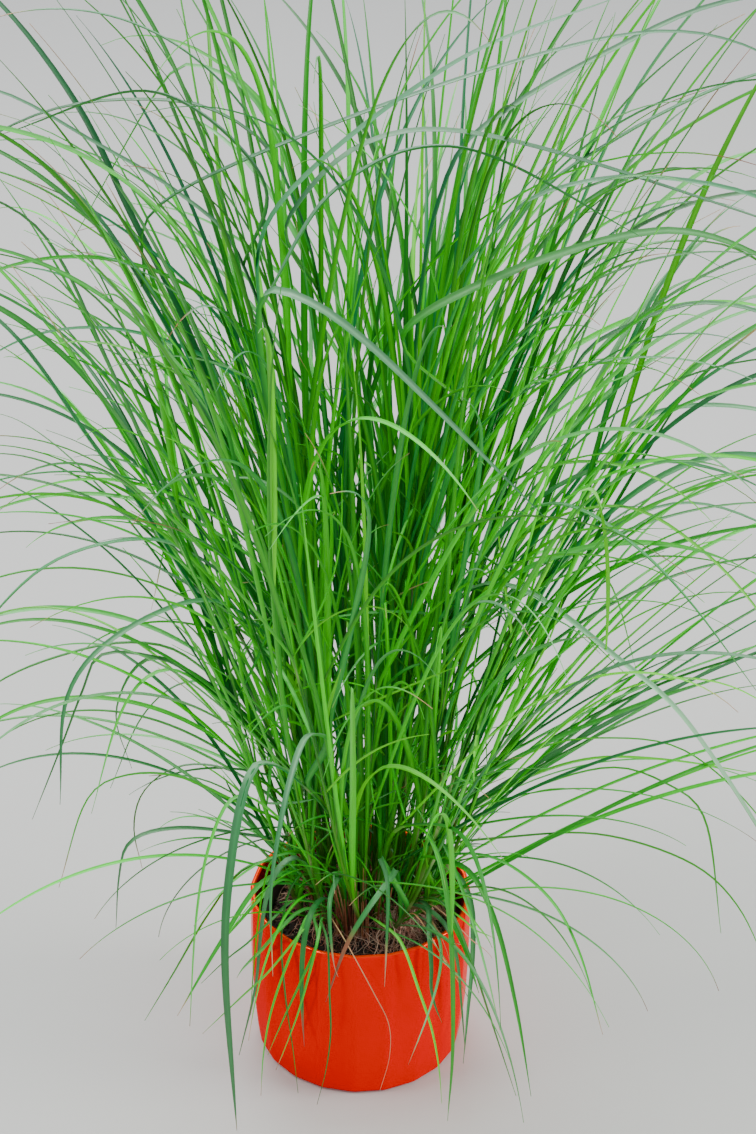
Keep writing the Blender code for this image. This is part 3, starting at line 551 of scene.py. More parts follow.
# Leaves that fan out to the sides, over the rim and at the top. Each row: their compass angle and
# its spread, how many, from which share of the stem, then ranges of lean, droop, length and width.
FANS = (
    (6, 12, 18, (0.02, 0.14), (38, 58), (0, 40), (0.28, 0.46), (0.0036, 0.0062)),
    (185, 13, 16, (0.18, 0.42), (24, 46), (75, 125), (0.24, 0.40), (0.0040, 0.0062)),
    (188, 16, 6, (0.02, 0.14), (34, 50), (60, 110), (0.24, 0.40), (0.0032, 0.0050)),
    (-4, 16, 8, (0.18, 0.42), (24, 46), (50, 90), (0.26, 0.40), (0.0040, 0.0062)),
    (-28, 24, 14, (0.02, 0.14), (44, 70), (50, 105), (0.16, 0.32), (0.0016, 0.0034)),
    (208, 24, 10, (0.02, 0.14), (44, 70), (60, 110), (0.14, 0.28), (0.0014, 0.0030)),
    (-6, 26, 11, (0.36, 0.60), (14, 30), (75, 115), (0.32, 0.46), (0.0042, 0.0062)),
    (186, 26, 8, (0.36, 0.60), (14, 30), (75, 115), (0.30, 0.44), (0.0042, 0.0062)),
    (-75, 60, 13, (0.42, 0.62), (4, 16), (15, 75), (0.26, 0.40), (0.0042, 0.0060)),
    (100, 60, 8, (0.42, 0.62), (4, 16), (15, 75), (0.26, 0.40), (0.0042, 0.0060)),
)
EXTRA_TRIES = 40
EXTRA_BEND = (1.6, 3.6)
EXTRA_TIP_LOWEST = 0.20
HIGHEST_EXTRA = TALLEST - 0.03
# A stem that leans out by the first of these degrees or less carries all of them, and from the
# second on only a few.
EXTRA_LEAN = (9, 24)
# The leaves of a fan start this far beside the crown's middle and stay above this height.
BESIDE_CROWN = 0.02
LOWEST_FAN = 0.02
LOOK_SEED, CRUMB_SEED, ROOT_SEED, YOUNG_SEED = 5, 21, 31, 41
STRAND_SEED, SIDE_SEED, ARCH_SEED = 51, 61, 71

# Width in metres, tone and strength of the painted sheen (a painted highlight on the upper face) of
# the blades that stand out, by their row in the tables above, and for some of them the share of
# their length from which they are dry.
STEM_LOOKS = {
    0: (0.0064, "bluish", 0.7), 1: (0.0060, "bluish", 0.7), 2: (0.0060, "bluish", 0.6),
    3: (0.0060, "bluish", 0.6), 5: (0.0058, "middle", 0.6), 6: (0.0068, "bluish", 0.8),
    7: (0.0064, "bluish", 0.8), 8: (0.0062, "bluish", 0.6), 12: (0.0066, "bluish", 0.6),
    13: (0.0066, "bluish", 0.7), 14: (0.0064, "middle", 0.6), 15: (0.0066, "bluish", 0.7),
    16: (0.0064, "middle", 0.5), 17: (0.0066, "bluish", 0.6), 18: (0.0064, "bluish", 0.7),
    19: (0.0064, "middle", 0.5), 20: (0.0064, "bluish", 0.6), 21: (0.0060, "bright", 0.4),
    22: (0.0074, "bluish", 1.7), 23: (0.0074, "bluish", 0.8), 24: (0.0074, "bluish", 0.95),
    26: (0.0078, "bluish", 0.8),
}
LEAF_LOOKS = {
    0: (0.0066, "bluish", 0.9), 1: (0.0050, "middle", 0.9), 3: (0.0070, "bluish", 0.95),
    5: (0.0029, "deep", 0.0), 6: (0.0050, "bluish", 0.3, 0.80), 7: (0.0050, "bluish", 0.5, 0.82),
    8: (0.0050, "bluish", 0.4, 0.66), 9: (0.0050, "bluish", 0.6, 0.80), 10: (0.0045, "bluish", 0.3),
    11: (0.0054, "bluish", 0.6), 19: (0.0050, "bluish", 0.8), 20: (0.0048, "bluish", 1.0),
    22: (0.0054, "deep", 0.4), 23: (0.0050, "deep", 0.3),
}
# Thin strands that fall over the pot's rim. Each row: width, tone, foot (compass angle, distance
# out), the angle at which it crosses the rim, the height of its top, its tip (angle, distance out,
# height), and how many degrees it swings aside on the way down.
HANGING = (
    (0.0036, "bright", (-135, 0.030), -130, 0.155, (-165, 0.100, 0.07), 0),
    (0.0024, "bright", (-135, 0.035), -120, 0.155, (-125, 0.130, 0.02), -4),
    (0.0026, "middle", (-140, 0.040), -110, 0.155, (-135, 0.100, 0.03), 0),
    (0.0020, "deep", (-135, 0.040), -105, 0.155, (-105, 0.120, 0.02), 4),
    (0.0022, "bright", (-125, 0.045), -110, 0.155, (-130, 0.100, 0.02), 2),
    (0.0009, "pink", (-125, 0.040), -95, 0.155, (-80, 0.100, 0.02), 11),
    (0.0028, "lime", (-85, 0.030), -70, 0.155, (-60, 0.130, 0.02), 4),
    (0.0046, "bluish", (-15, 0.040), -55, 0.155, (-50, 0.100, 0.07), -4),
    (0.0052, "middle", (10, 0.040), -40, 0.155, (-40, 0.120, 0.10), 0),
    (0.0009, "pink", (-30, 0.040), -40, 0.155, (-5, 0.105, 0.08), 0),
    (0.0008, "pink", (-35, 0.035), -50, 0.155, (-45, 0.100, 0.12), 0),
    (0.0010, "pink", (-45, 0.045), -55, 0.155, (-40, 0.100, 0.10), 0),
    (0.0008, "pink", (-30, 0.045), -40, 0.155, (-35, 0.100, 0.13), -3),
    (0.0011, "pink", (-35, 0.045), -50, 0.155, (-35, 0.100, 0.13), 0),
    (0.0018, "lime", (-25, 0.040), -35, 0.155, (-5, 0.105, 0.10), 0),
    (0.0022, "lime", (-10, 0.045), -30, 0.155, (-5, 0.105, 0.09), 0),
    (0.0030, "middle", (-145, 0.030), -135, 0.160, (-150, 0.140, 0.10), -2),
    (0.0034, "bright", (-165, 0.035), -145, 0.170, (-150, 0.145, 0.10), -3),
    (0.0020, "lime", (-125, 0.035), -120, 0.155, (-150, 0.140, 0.05), -2),
    (0.0036, "deep", (-25, 0.040), -40, 0.160, (-40, 0.160, 0.02), 0),
)
# Leaves that arch across the clump, high up. Each row: width, tone, painted sheen (a painted
# highlight on the upper face), how far back it lies (Y), then the places (X, height) that it passes.
# Each grows from the stem that stands nearest to it.
ARCHES = (
    (0.0076, "bluish", 0.55, -0.03, (-0.05, 0.72), (0.05, 0.78), (0.33, 0.70)),
    (0.0066, "bluish", 0.45, -0.01, (-0.12, 0.73), (0.17, 0.84), (0.32, 0.80)),
    (0.0078, "bluish", 0.45, -0.05, (-0.06, 0.73), (0.05, 0.83), (0.16, 0.88)),
    (0.0060, "bluish", 0.55, -0.06, (-0.02, 0.75), (0.06, 0.78), (0.18, 0.72)),
    (0.0070, "middle", 0.45, -0.05, (0.03, 0.65), (0.19, 0.72), (0.31, 0.68)),
    (0.0066, "bluish", 0.50, -0.02, (-0.07, 0.74), (-0.14, 0.80), (-0.24, 0.77)),
)
# How far below its first place an arching leaf parts from its stem.
ARCH_DROP = (0.07, 0.20)
# A strand leaves the soil at this height, passes these distances out on its way over the rim, and
# hangs from the last of them.
STRAND_FOOT_HEIGHT = 0.138
STRAND_INSIDE, STRAND_OVER_RIM, STRAND_OUTSIDE = 0.066, 0.092, 0.099
STRAND_TURN_DOWN = 0.006
STRAND_STOPS = (0.25, 0.5, 0.75, 1)

# Young leaves: how many rise from the soil and how many there are with those that part from stems.
YOUNG_FROM_SOIL, YOUNG_IN_ALL = 90, 330
YOUNG_TONES = ("bright", "middle", "bright", "deep", "lime")
# They stay within this reach at the soil, and this much farther out for each metre of height.
YOUNG_REACH, YOUNG_SPREAD = 0.075, 0.30

CRUMBS, CRUMB_REACH = 1500, 0.070
ROOTS, ROOT_REACH = 560, 0.069
SCRAPS = 170
TANGLE_WAY, TANGLE_SPREAD = -42, 24
FRONT_WAY, FRONT_SPREAD = -100, 16

# ---- The pots, the soil and the stage ----
STEPS_PER_FACET, GROWING_POT_STEPS = 16, 96
CREASE_SOFTNESS = 0.25
LIP_GLAZE_AND_HIGHLIGHT = 0.0012
RIM_ROLL, RIM_STEP = 0.006, 0.004
PEAT_RINGS, PEAT_SIDES = 46, 120
FLOOR_SIZE = 14
LIGHTS = (
    ("key", (-1.3, -0.3, 2.7), 0.9, 56, (1.0, 0.98, 0.94)),
    ("side", (2.0, -0.3, 1.2), 0.9, 44, (1.0, 0.97, 0.92)),
    ("back", (-0.5, 2.0, 2.6), 1.6, 70, (0.96, 0.98, 1.0)),
)
LIGHTS_AIM = (0, 0, 0.45)
CAMERA_PLACE = (0.0103, -1.681, 1.418)
CAMERA_DOWN, CAMERA_ROLL = 30.4, 0.77


def linear(colour):
    """An sRGB colour of 0 to 255 as linear light of 0 to 1."""
    share = np.asarray(colour, float) / 255
    return np.where(share <= 0.04045, share / 12.92, ((share + 0.055) / 1.055) ** 2.4)


def smoothstep(low, high, value):
    t = np.clip((value - low) / (high - low), 0, 1)
    return t * t * (3 - 2 * t)


def mixed(a, b, share):
    share = np.asarray(share)[..., None]
    return np.asarray(a) * (1 - share) + np.asarray(b) * share


def linked(name, data):
    """A new object of the given data, linked to the scene."""
    made = bpy.data.objects.new(name, data)
    bpy.context.scene.collection.objects.link(made)
    return made


def mesh_of(body, name):
    """A bmesh as a mesh. The bmesh is freed."""
    mesh = bpy.data.meshes.new(name)
    body.to_mesh(mesh)
    body.free()
    return mesh


def carried_frame(line):
    """Unit vectors along, across and out of the upper face at each point, with no sudden turn."""
    outward = np.array([*(line[-1] - line[0])[:2], 0])
    outward /= np.linalg.norm(outward) + 1e-9
    ways = np.gradient(line, axis=0)
    ways /= np.linalg.norm(ways, axis=1)[:, None]
    side = np.cross(outward, (0, 0, 1))
    sides = np.empty_like(ways)
    for k, way in enumerate(ways):
        side = side - way * side.dot(way)
        side /= np.linalg.norm(side)
        sides[k] = side
    return ways, sides, np.cross(sides, ways)


def surface_places(across, t, line):
    """Coordinates for the grain at every point of a tube's rings: across it and metres along it."""
    length = np.linalg.norm(np.diff(line, axis=0), axis=1).sum()
    along = np.repeat(t * length, len(across)).reshape(-1, len(across))
    return np.stack([np.broadcast_to(across, (len(t), len(across))), along], axis=2)


class Batch:
    """Vertices, faces, colours and surface coordinates of one piece, gathered as arrays."""

    def __init__(self):
        self.points, self.faces, self.colours, self.across, self.sharp = [], [], [], [], []
        self.count = 0

    def add_tube(self, rings, colours, across, sharp_at=()):
        """Rings: (n, m, 3) points around a closed section. Both ends are closed."""
        n, m, _ = rings.shape
        start = self.count
        self.points.append(rings.reshape(-1, 3))
        self.colours.append(colours.reshape(-1, 3))
        self.across.append(across.reshape(-1, 2))
        for k in range(n - 1):
            low, high = start + k * m, start + (k + 1) * m
            for j in range(m):
                after = (j + 1) % m
                self.faces.append((low + j, low + after, high + after, high + j))
            for j in sharp_at:
                self.sharp.append((low + j, high + j))
        self.faces.append(tuple(range(start + m - 1, start - 1, -1)))
        self.faces.append(tuple(range(start + (n - 1) * m, start + n * m)))
        self.count += n * m

    def build(self, name, skin):
        mesh = bpy.data.meshes.new(name)
        mesh.from_pydata(np.vstack(self.points).tolist(), [], self.faces)
        mesh.update()
        mesh.polygons.foreach_set("use_smooth", [True] * len(mesh.polygons))
        tint = mesh.attributes.new("tint", "FLOAT_COLOR", "POINT")
        colours = np.ones((self.count, 4))
        colours[:, :3] = np.vstack(self.colours)
        tint.data.foreach_set("color", colours.reshape(-1))
        grain = mesh.attributes.new("grain", "FLOAT_VECTOR", "POINT")
        places = np.zeros((self.count, 3))
        places[:, :2] = np.vstack(self.across)
        grain.data.foreach_set("vector", places.reshape(-1))
        if self.sharp:
            wanted = {tuple(sorted(pair)) for pair in self.sharp}
            keys = np.empty(len(mesh.edges) * 2, int)
            mesh.edges.foreach_get("vertices", keys)
            flags = [tuple(sorted(pair)) in wanted for pair in keys.reshape(-1, 2).tolist()]
            mark = mesh.attributes.get("sharp_edge")
            mark = mark or mesh.attributes.new("sharp_edge", "BOOLEAN", "EDGE")
            mark.data.foreach_set("value", flags)
        mesh.materials.append(skin)
        return linked(name, mesh)


def blade_colours(t, line, tilt, tone, strength, dry_from, rng, foot):
    """Linear colours of a blade's rings. foot is how much of its low end is pale sheath."""
    base = linear(TONE_COLOURS[tone]) * rng.uniform(0.62, 1.36)
    base = base * (1 + rng.normal(0, 0.05, 3))
    body = mixed(base, linear(SHEATH) * rng.uniform(0.8, 1.1), smoothstep(0.14, 0.0, t) * foot)
    # High up the blades are thin and bluish. Low in the clump they are painted darker and of a fuller
    # green: painted shade where the clump is dense.
    body = body * (1 - smoothstep(*HIGH_UP, line[:, 2])[:, None] * np.array(HIGH_LOSS))
    if tone != "pink":
        body = body * (1 - smoothstep(*LOW_DOWN, line[:, 2])[:, None] * np.array(LOW_PAINTED_SHADE))
    # Where a blade arches over, its upper face carries a painted highlight, stronger on its lit half.
    if strength is None:
        strength = rng.uniform(0.4, 0.9) if rng.random() < 0.32 else rng.uniform(0.0, 0.35)
    painted_sheen = smoothstep(20, 62, tilt) * strength * (0.75 + 0.25 * np.sin(9 * t + rng.uniform(0, 6)))
    painted_sheen = np.minimum(1, painted_sheen * (1 - 0.75 * smoothstep(96, 150, tilt)))
    pale = np.minimum(1, linear(PAINTED_SHEEN) * max(1, strength))
    lit_half = rng.choice((-0.6, 0.0, 0.6))
    # The under face is painted lighter and more yellow-green: painted light shining through the blade.
    painted_backlight = mixed(body, linear(LIME), np.full_like(t, 0.25)) * 1.1
    tip = rng.uniform(0.86, 0.97) if rng.random() < 0.35 else 1.5
    if dry_from is not None:
        tip = dry_from
    dry = smoothstep(tip, tip + 0.08, t)
    tint = linear(DRY) if rng.random() < 0.6 else linear(RUST)
    rings = []
    for u, depth in BLADE_SECTION:
        lane = 0.45 + 0.55 * np.exp(-(((u - lit_half) / 0.55) ** 2))
        ring = painted_backlight if depth else mixed(body, pale, painted_sheen * lane)
        rib = 1 + 0.30 * max(0.0, 1 - abs(u) * 3)
        rings.append(mixed(ring * rib, tint, dry))
    return np.clip(np.stack(rings, axis=1), 0, 1)


def blade_profile(t, width):
    grows = 0.50 + 0.50 * smoothstep(0, 0.25, t)
    return np.maximum(width * grows * (1 - t**3.4) ** 0.9, 0.0004)


def add_blade(
    batch, line, width, tone, rng, foot=1.0, wrapped=1.0, painted_sheen=None, dry_from=None, count=LEAF_RINGS
):
    """One leaf blade: a thin closed strip, folded along its midrib, that narrows to a long tip."""
    line = resampled(line, count)
    ways, sides, ups = carried_frame(line)
    t = np.linspace(0, 1, count + 1)
    turn = rng.normal(0, 0.22) + rng.normal(0, 0.75) * t**1.5
    turn = turn + rng.normal(0, 0.12) * np.sin(5 * t + rng.uniform(0, 6))
    across = sides * np.cos(turn)[:, None] + ups * np.sin(turn)[:, None]
    upper = ups * np.cos(turn)[:, None] - sides * np.sin(turn)[:, None]
    fold = radians(16) + radians(14) * rng.random() + radians(46) * wrapped * np.exp(-t / 0.06)
    wide = blade_profile(t, width)
    thick = LEAF_THICKNESS * (0.5 + 0.5 * np.minimum(1, wide / width))
    rings = []
    for u, depth in BLADE_SECTION:
        flat = u * wide / 2 * np.cos(fold)
        raised = abs(u) * wide / 2 * np.sin(fold) - thick * depth
        rings.append(line + across * flat[:, None] + upper * raised[:, None])
    tilt = np.degrees(np.arccos(np.clip(ways[:, 2], -1, 1)))
    colours = blade_colours(t, line, tilt, tone, painted_sheen, dry_from, rng, foot)
    places = np.array([u for u, _ in BLADE_SECTION]) + rng.uniform(0, 90)
    batch.add_tube(np.stack(rings, axis=1), colours, surface_places(places, t, line), BLADE_EDGES)


def add_stem(batch, line, leaf_heights, width, tone, rng):
    """The flattened stem: nested sheaths that step in where each leaf parts from it."""
    line = resampled(line, FINE_STEPS)
    line = resampled(line[: int(FINE_STEPS * STEM_ENDS) + 1], STEM_RINGS)
    t = np.linspace(0, 1, STEM_RINGS + 1)
    _, sides, ups = carried_frame(line)
    turn = rng.uniform(0, pi)
    sides, ups = sides * cos(turn) + ups * sin(turn), ups * cos(turn) - sides * sin(turn)
    size = width * (1 - 0.42 * t) * (0.72 + 0.28 * smoothstep(0, 0.07, t))
    for height in leaf_heights:
        size = size * (1 - 0.10 * smoothstep(height, height + 0.01, line[:, 2]))
    size = size * (1 - 0.55 * smoothstep(0.75, 1, t))
    rings = []
    for k in range(STEM_SIDES):
        way = 2 * pi * k / STEM_SIDES
        flat, raised = size / 2 * cos(way), size / 2 * 0.55 * sin(way)
        rings.append(line + sides * flat[:, None] + ups * raised[:, None])
    base = linear(TONE_COLOURS[tone]) * rng.uniform(0.65, 1.15)
    sheath = linear(SHEATH) * rng.uniform(0.60, 1.15)
    foot = linear(SHEATH_FOOT) * rng.uniform(0.6, 1.1)
    colour = mixed(sheath, base, smoothstep(0.10, 0.75, t))
    colour = mixed(foot, colour, smoothstep(0.0, 0.07 + 0.05 * rng.random(), t))
    for height in leaf_heights:
        band = np.exp(-((line[:, 2] - height) / 0.0035) ** 2) * 0.5
        colour = mixed(colour, linear(COLLAR), band)
    # Low in the clump the stems are painted darker: painted shade where the clump is dense.
    colour = colour * (1 - 0.35 * smoothstep(0.26, 0.14, line[:, 2]))[:, None]
    ring_colours = np.repeat(colour[:, None, :], STEM_SIDES, axis=1)
    stripes = 1 + 0.10 * np.cos(np.arange(STEM_SIDES) * 2 * pi / STEM_SIDES * 3 + rng.uniform(0, 6))
    ring_colours = np.clip(ring_colours * stripes[None, :, None], 0, 1)
    places = np.arange(STEM_SIDES) / STEM_SIDES * 4 + rng.uniform(0, 90)
    batch.add_tube(np.stack(rings, axis=1), ring_colours, surface_places(places, t, line))


def pick_tone(rng):
    shares = np.cumsum([share for _, share in TONES])
    return TONES[int(np.searchsorted(shares, rng.random() * 0.999))][0]


def onto_stem(line, stem, thick, wrap):
    """A leaf's line that starts wrapped round the fine stem, then parts from it."""
    near = int(np.argmin(np.linalg.norm(stem - line[0], axis=1)))
    fade = (1 - smoothstep(0, 0.4, np.linspace(0, 1, len(line))))[:, None]
    leaf = line + (stem[near] - line[0]) * fade
    step = np.linalg.norm(stem[1] - stem[0])
    low = max(0, near - max(1, int(wrap / step)))
    joined = resampled(np.vstack([stem[low:near], leaf]), 2 * LEAF_RINGS)
    for _ in range(3):
        joined[1:-1] = (joined[:-2] + 2 * joined[1:-1] + joined[2:]) / 4
    away = joined[min(len(joined) - 1, 14)] - joined[0]
    way = stem[min(near + 1, len(stem) - 1)] - stem[near]
    way = way / np.linalg.norm(way)
    away = away - way * away.dot(way)
    away /= np.linalg.norm(away) + 1e-9
    return joined + away * thick * (1 - smoothstep(0, 0.25, np.linspace(0, 1, len(joined))))[:, None]


def extra_leaf_line(stem, kind, rng):
    """A leaf between the ones of the solids: it parts from the stem and stays in the clump's reach."""
    _, leaf_from, parting, droop, length, farthest = kind
    for _ in range(EXTRA_TRIES):
        at = rng.uniform(*leaf_from) * FINE_STEPS
        side = rng.uniform(0, 2 * pi)
        out = np.tan(radians(rng.uniform(*parting)))
        start, azimuth, lean = parted_from(stem, at, side, out)
        line = leaning_line(
            start, azimuth, rng.normal(0, 25), lean, rng.uniform(*droop), rng.uniform(*length),
            rng.uniform(*EXTRA_BEND),
        )
        reach = np.hypot(line[:, 0] - CROWN_X, line[:, 1] - CROWN_Y)
        in_height = line[-1, 2] > EXTRA_TIP_LOWEST and line[:, 2].max() < HIGHEST_EXTRA
        if in_height and reach.max() < farthest and clears_the_pot(line):
            return line
    return None


def look_of(looks, row, rng):
    """Width, tone, painted sheen and dry share: those of the row if it has its own, or drawn at random."""
    drawn = (rng.uniform(*LEAF_WIDTH), pick_tone(rng), None)
    look = looks.get(row, drawn)
    return look if len(look) == 4 else (*look, None)


def dress_shoots(shoots, skin):
    for number, shoot in enumerate(shoots):
        rng = np.random.default_rng((LOOK_SEED, number))
        name = f"shoot_{number + 1:02}"
        (_, stem, stem_row), *leaves = shoot
        batch = Batch()
        width, tone, painted_sheen, dry_from = look_of(STEM_LOOKS, stem_row, rng)
        thick = rng.uniform(*SHEATH_SIZE)
        leaves = [(line, *look_of(LEAF_LOOKS, row, rng)) for _, line, row in leaves]
        rise = stem[FINE_STEPS // 2] - stem[0]
        lean = np.degrees(np.arctan2(np.hypot(rise[0], rise[1]), rise[2]))
        share = 1 - 0.85 * smoothstep(*EXTRA_LEAN, lean)
        for kind in EXTRA_LEAVES:
            for _ in range(int(kind[0] * share + rng.random())):
                line = extra_leaf_line(stem, kind, rng)
                if line is not None:
                    leaves.append((line, rng.uniform(*LEAF_WIDTH) * 0.92, pick_tone(rng), None, None))
        heights = sorted(leaf[0][0, 2] for leaf in leaves)
        add_stem(batch, stem, heights, thick, tone, rng)
        top = stem[int(FINE_STEPS * TOP_BLADE_STARTS):]
        add_blade(batch, top, width, tone, rng, foot=0.4, wrapped=1.3, painted_sheen=painted_sheen, dry_from=dry_from)
        for line, width, tone, painted_sheen, dry_from in leaves:
            line = onto_stem(line, stem, thick * 0.22, rng.uniform(0.03, 0.06))
            add_blade(batch, line, width, tone, rng, painted_sheen=painted_sheen, dry_from=dry_from)
        piece = batch.build(f"grass_{name}", skin)
        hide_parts(name)
        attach(piece, "root")


# ---- Materials ----
class Nodes:
    """Short names for building a node material."""

    def __init__(self, name):
        self.material = bpy.data.materials.new(name)
        self.material.use_nodes = True
        self.tree = self.material.node_tree
        self.shader = self.tree.nodes["Principled BSDF"]

    def node(self, kind, **settings):
        made = self.tree.nodes.new(kind)
        for key, value in settings.items():
            setattr(made, key, value)
        return made

    def link(self, source, target):
        self.tree.links.new(source, target)

    def set(self, **values):
        """Values of the shader's inputs, with _ for a space in their names."""
        for key, value in values.items():
            self.shader.inputs[key.replace("_", " ")].default_value = value

    def feed(self, name, source):
        self.link(source, self.shader.inputs[name])

    def tint(self):
        return self.node("ShaderNodeAttribute", attribute_name="tint").outputs["Color"]

    def noise(self, scale, detail=3.0, roughness=0.55, vector=None):
        made = self.node("ShaderNodeTexNoise")
        for key, value in (("Scale", scale), ("Detail", detail), ("Roughness", roughness)):
            made.inputs[key].default_value = value
        if vector is not None:
            self.link(vector, made.inputs["Vector"])
        return made.outputs["Fac"]

    def stretched(self, source, scale):
        made = self.node("ShaderNodeMapping")
        made.inputs["Scale"].default_value = scale
        self.link(source, made.inputs["Vector"])
        return made.outputs["Vector"]

    def ramp(self, source, stops):
        """stops: (place, value or sRGB colour)."""
        made = self.node("ShaderNodeValToRGB")
        elements = made.color_ramp.elements
        while len(elements) < len(stops):
            elements.new(0.5)
        for element, (place, value) in zip(elements, stops):
            element.position = place
            rgb = linear(value) if isinstance(value, tuple) else (value,) * 3
            element.color = (*rgb, 1)
        self.link(source, made.inputs["Fac"])
        return made.outputs["Color"]

    def mix(self, mode, factor, a, b):
        made = self.node("ShaderNodeMix", data_type="RGBA", blend_type=mode)
        if isinstance(factor, (int, float)):
            made.inputs[0].default_value = factor
        else:
            self.link(factor, made.inputs[0])
        for socket, value in ((made.inputs[6], a), (made.inputs[7], b)):
            if isinstance(value, tuple):
                socket.default_value = (*linear(value), 1)
            else:
                self.link(value, socket)
        return made.outputs[2]

    def bump(self, height, strength, distance):
        made = self.node("ShaderNodeBump")
        made.inputs["Strength"].default_value = strength
        made.inputs["Distance"].default_value = distance
        self.link(height, made.inputs["Height"])
        self.feed("Normal", made.outputs["Normal"])

    def place(self):
        return self.node("ShaderNodeTexCoord").outputs["Object"]


def grass_material():
    n = Nodes("grass")
    tint = n.tint()
    grain = n.node("ShaderNodeAttribute", attribute_name="grain")
    veins = n.noise(1.0, 2.0, 0.6, n.stretched(grain.outputs["Vector"], (9.0, 14.0, 1.0)))
    mottle = n.noise(60.0, 2.0, 0.5, n.place())
    veined = n.mix("MULTIPLY", 0.5, tint, n.ramp(veins, ((0.30, 0.66), (0.62, 1.0))))
    colour = n.mix("MULTIPLY", 0.35, veined, n.ramp(mottle, ((0.35, 0.75), (0.65, 1.0))))
    n.feed("Base Color", colour)
    n.feed("Roughness", n.ramp(mottle, ((0.3, 0.38), (0.7, 0.50))))
    n.set(Specular_IOR_Level=0.42)
    n.bump(veins, 0.35, 0.0002)
    return n.material


def glaze_material():
    n = Nodes("orange_red_glaze")
    height = n.node("ShaderNodeSeparateXYZ")
    n.link(n.place(), height.inputs[0])
    # The top of the lip is painted orange: partly the thinner glaze there, partly a painted highlight along
    # the lip.
    lip = n.node("ShaderNodeMapRange")
    lip.inputs["From Min"].default_value = POT_HEIGHT - LIP_GLAZE_AND_HIGHLIGHT
    lip.inputs["From Max"].default_value = POT_HEIGHT
    n.link(height.outputs["Z"], lip.inputs["Value"])
    cloud = n.noise(14.0, 3.0, 0.5, n.place())
    red = n.ramp(cloud, ((0.30, (240, 4, 0)), (0.70, (250, 12, 0))))
    colour = n.mix("MIX", lip.outputs[0], red, (255, 70, 0))
    n.feed("Base Color", colour)
    n.feed("Roughness", n.ramp(cloud, ((0.3, 0.14), (0.7, 0.22))))
    n.set(Metallic=0.45, IOR=1.03, Specular_IOR_Level=0.5, Specular_Tint=(1.0, 0.16, 0.03, 1))
    n.bump(n.noise(90.0, 2.0, 0.5, n.place()), 0.06, 0.0006)
    return n.material


def plastic_material():
    n = Nodes("dark_growing_pot")
    dust = n.noise(120.0, 4.0, 0.65, n.place())
    n.feed("Base Color", n.ramp(dust, ((0.35, (34, 34, 36)), (0.62, (52, 48, 44)), (0.8, (84, 72, 60)))))
    n.feed("Roughness", n.ramp(dust, ((0.3, 0.38), (0.8, 0.8))))
    n.bump(dust, 0.2, 0.0004)
    return n.material


def peat_material():
    n = Nodes("peat")
    clod = n.noise(160.0, 6.0, 0.7, n.place())
    patch = n.noise(35.0, 3.0, 0.5, n.place())
    browns = ((0.25, (16, 10, 8)), (0.5, (40, 26, 20)), (0.72, (74, 50, 38)), (0.9, (128, 94, 72)))
    dark = n.ramp(clod, browns)
    n.feed("Base Color", n.mix("MULTIPLY", 0.6, dark, n.ramp(patch, ((0.3, 0.45), (0.7, 1.0)))))
    n.set(Roughness=0.95)
    n.bump(clod, 0.9, 0.0015)
    return n.material


def thread_material():
    n = Nodes("roots_and_sheaths")
    tint = n.tint()
    mottle = n.noise(260.0, 3.0, 0.6, n.place())
    n.feed("Base Color", n.mix("MULTIPLY", 0.6, tint, n.ramp(mottle, ((0.3, 0.5), (0.7, 1.0)))))
    n.set(Roughness=0.8)
    n.bump(mottle, 0.3, 0.0003)
    return n.material


# ---- The pots and the soil ----
def turned_piece(name, profile, steps, skin, smooth_angle=40):
    """A profile of (radius, height) points, turned round the upright axis."""
    mesh = bpy.data.meshes.new(name)
    mesh.from_pydata([(r, 0, z) for r, z in profile], [(k, k + 1) for k in range(len(profile) - 1)], [])
    made = linked(name, mesh)
    screw = made.modifiers.new("turn", "SCREW")
    screw.steps = steps
    screw.render_steps = steps
    screw.use_merge_vertices = True
    screw.merge_threshold = 0.00001
    graph = bpy.context.evaluated_depsgraph_get()
    made.data = bpy.data.meshes.new_from_object(made.evaluated_get(graph))
    made.modifiers.clear()
    made.data.materials.clear()
    made.data.materials.append(skin)
    made.data.shade_smooth()
    made.data.set_sharp_from_angle(angle=radians(smooth_angle))
    return made


def arc(centre, radius, start, end, count):
    return [
        (centre[0] + radius * cos(radians(a)), centre[1] + radius * sin(radians(a)))
        for a in np.linspace(start, end, count)
    ]


def faceted(angle, facets, softness):
    """How far a flat-sided shape's wall stands at an angle, as a share of its corner radius."""
    span = 2 * pi / facets
    off = (angle % span) - span / 2
    flat = cos(span / 2) / cos(off)
    corner = abs(off) / (span / 2)
    return flat - softness * (1 - cos(span / 2)) * smoothstep(0.86, 1.0, corner)


def wall_radius(height):
    """Outer corner radius of the cover pot, which widens from its foot and ends upright."""
    return POT_RIM_RADIUS - (POT_RIM_RADIUS - POT_FOOT_RADIUS) * (1 - height / POT_HEIGHT) ** POT_WALL_CURVE


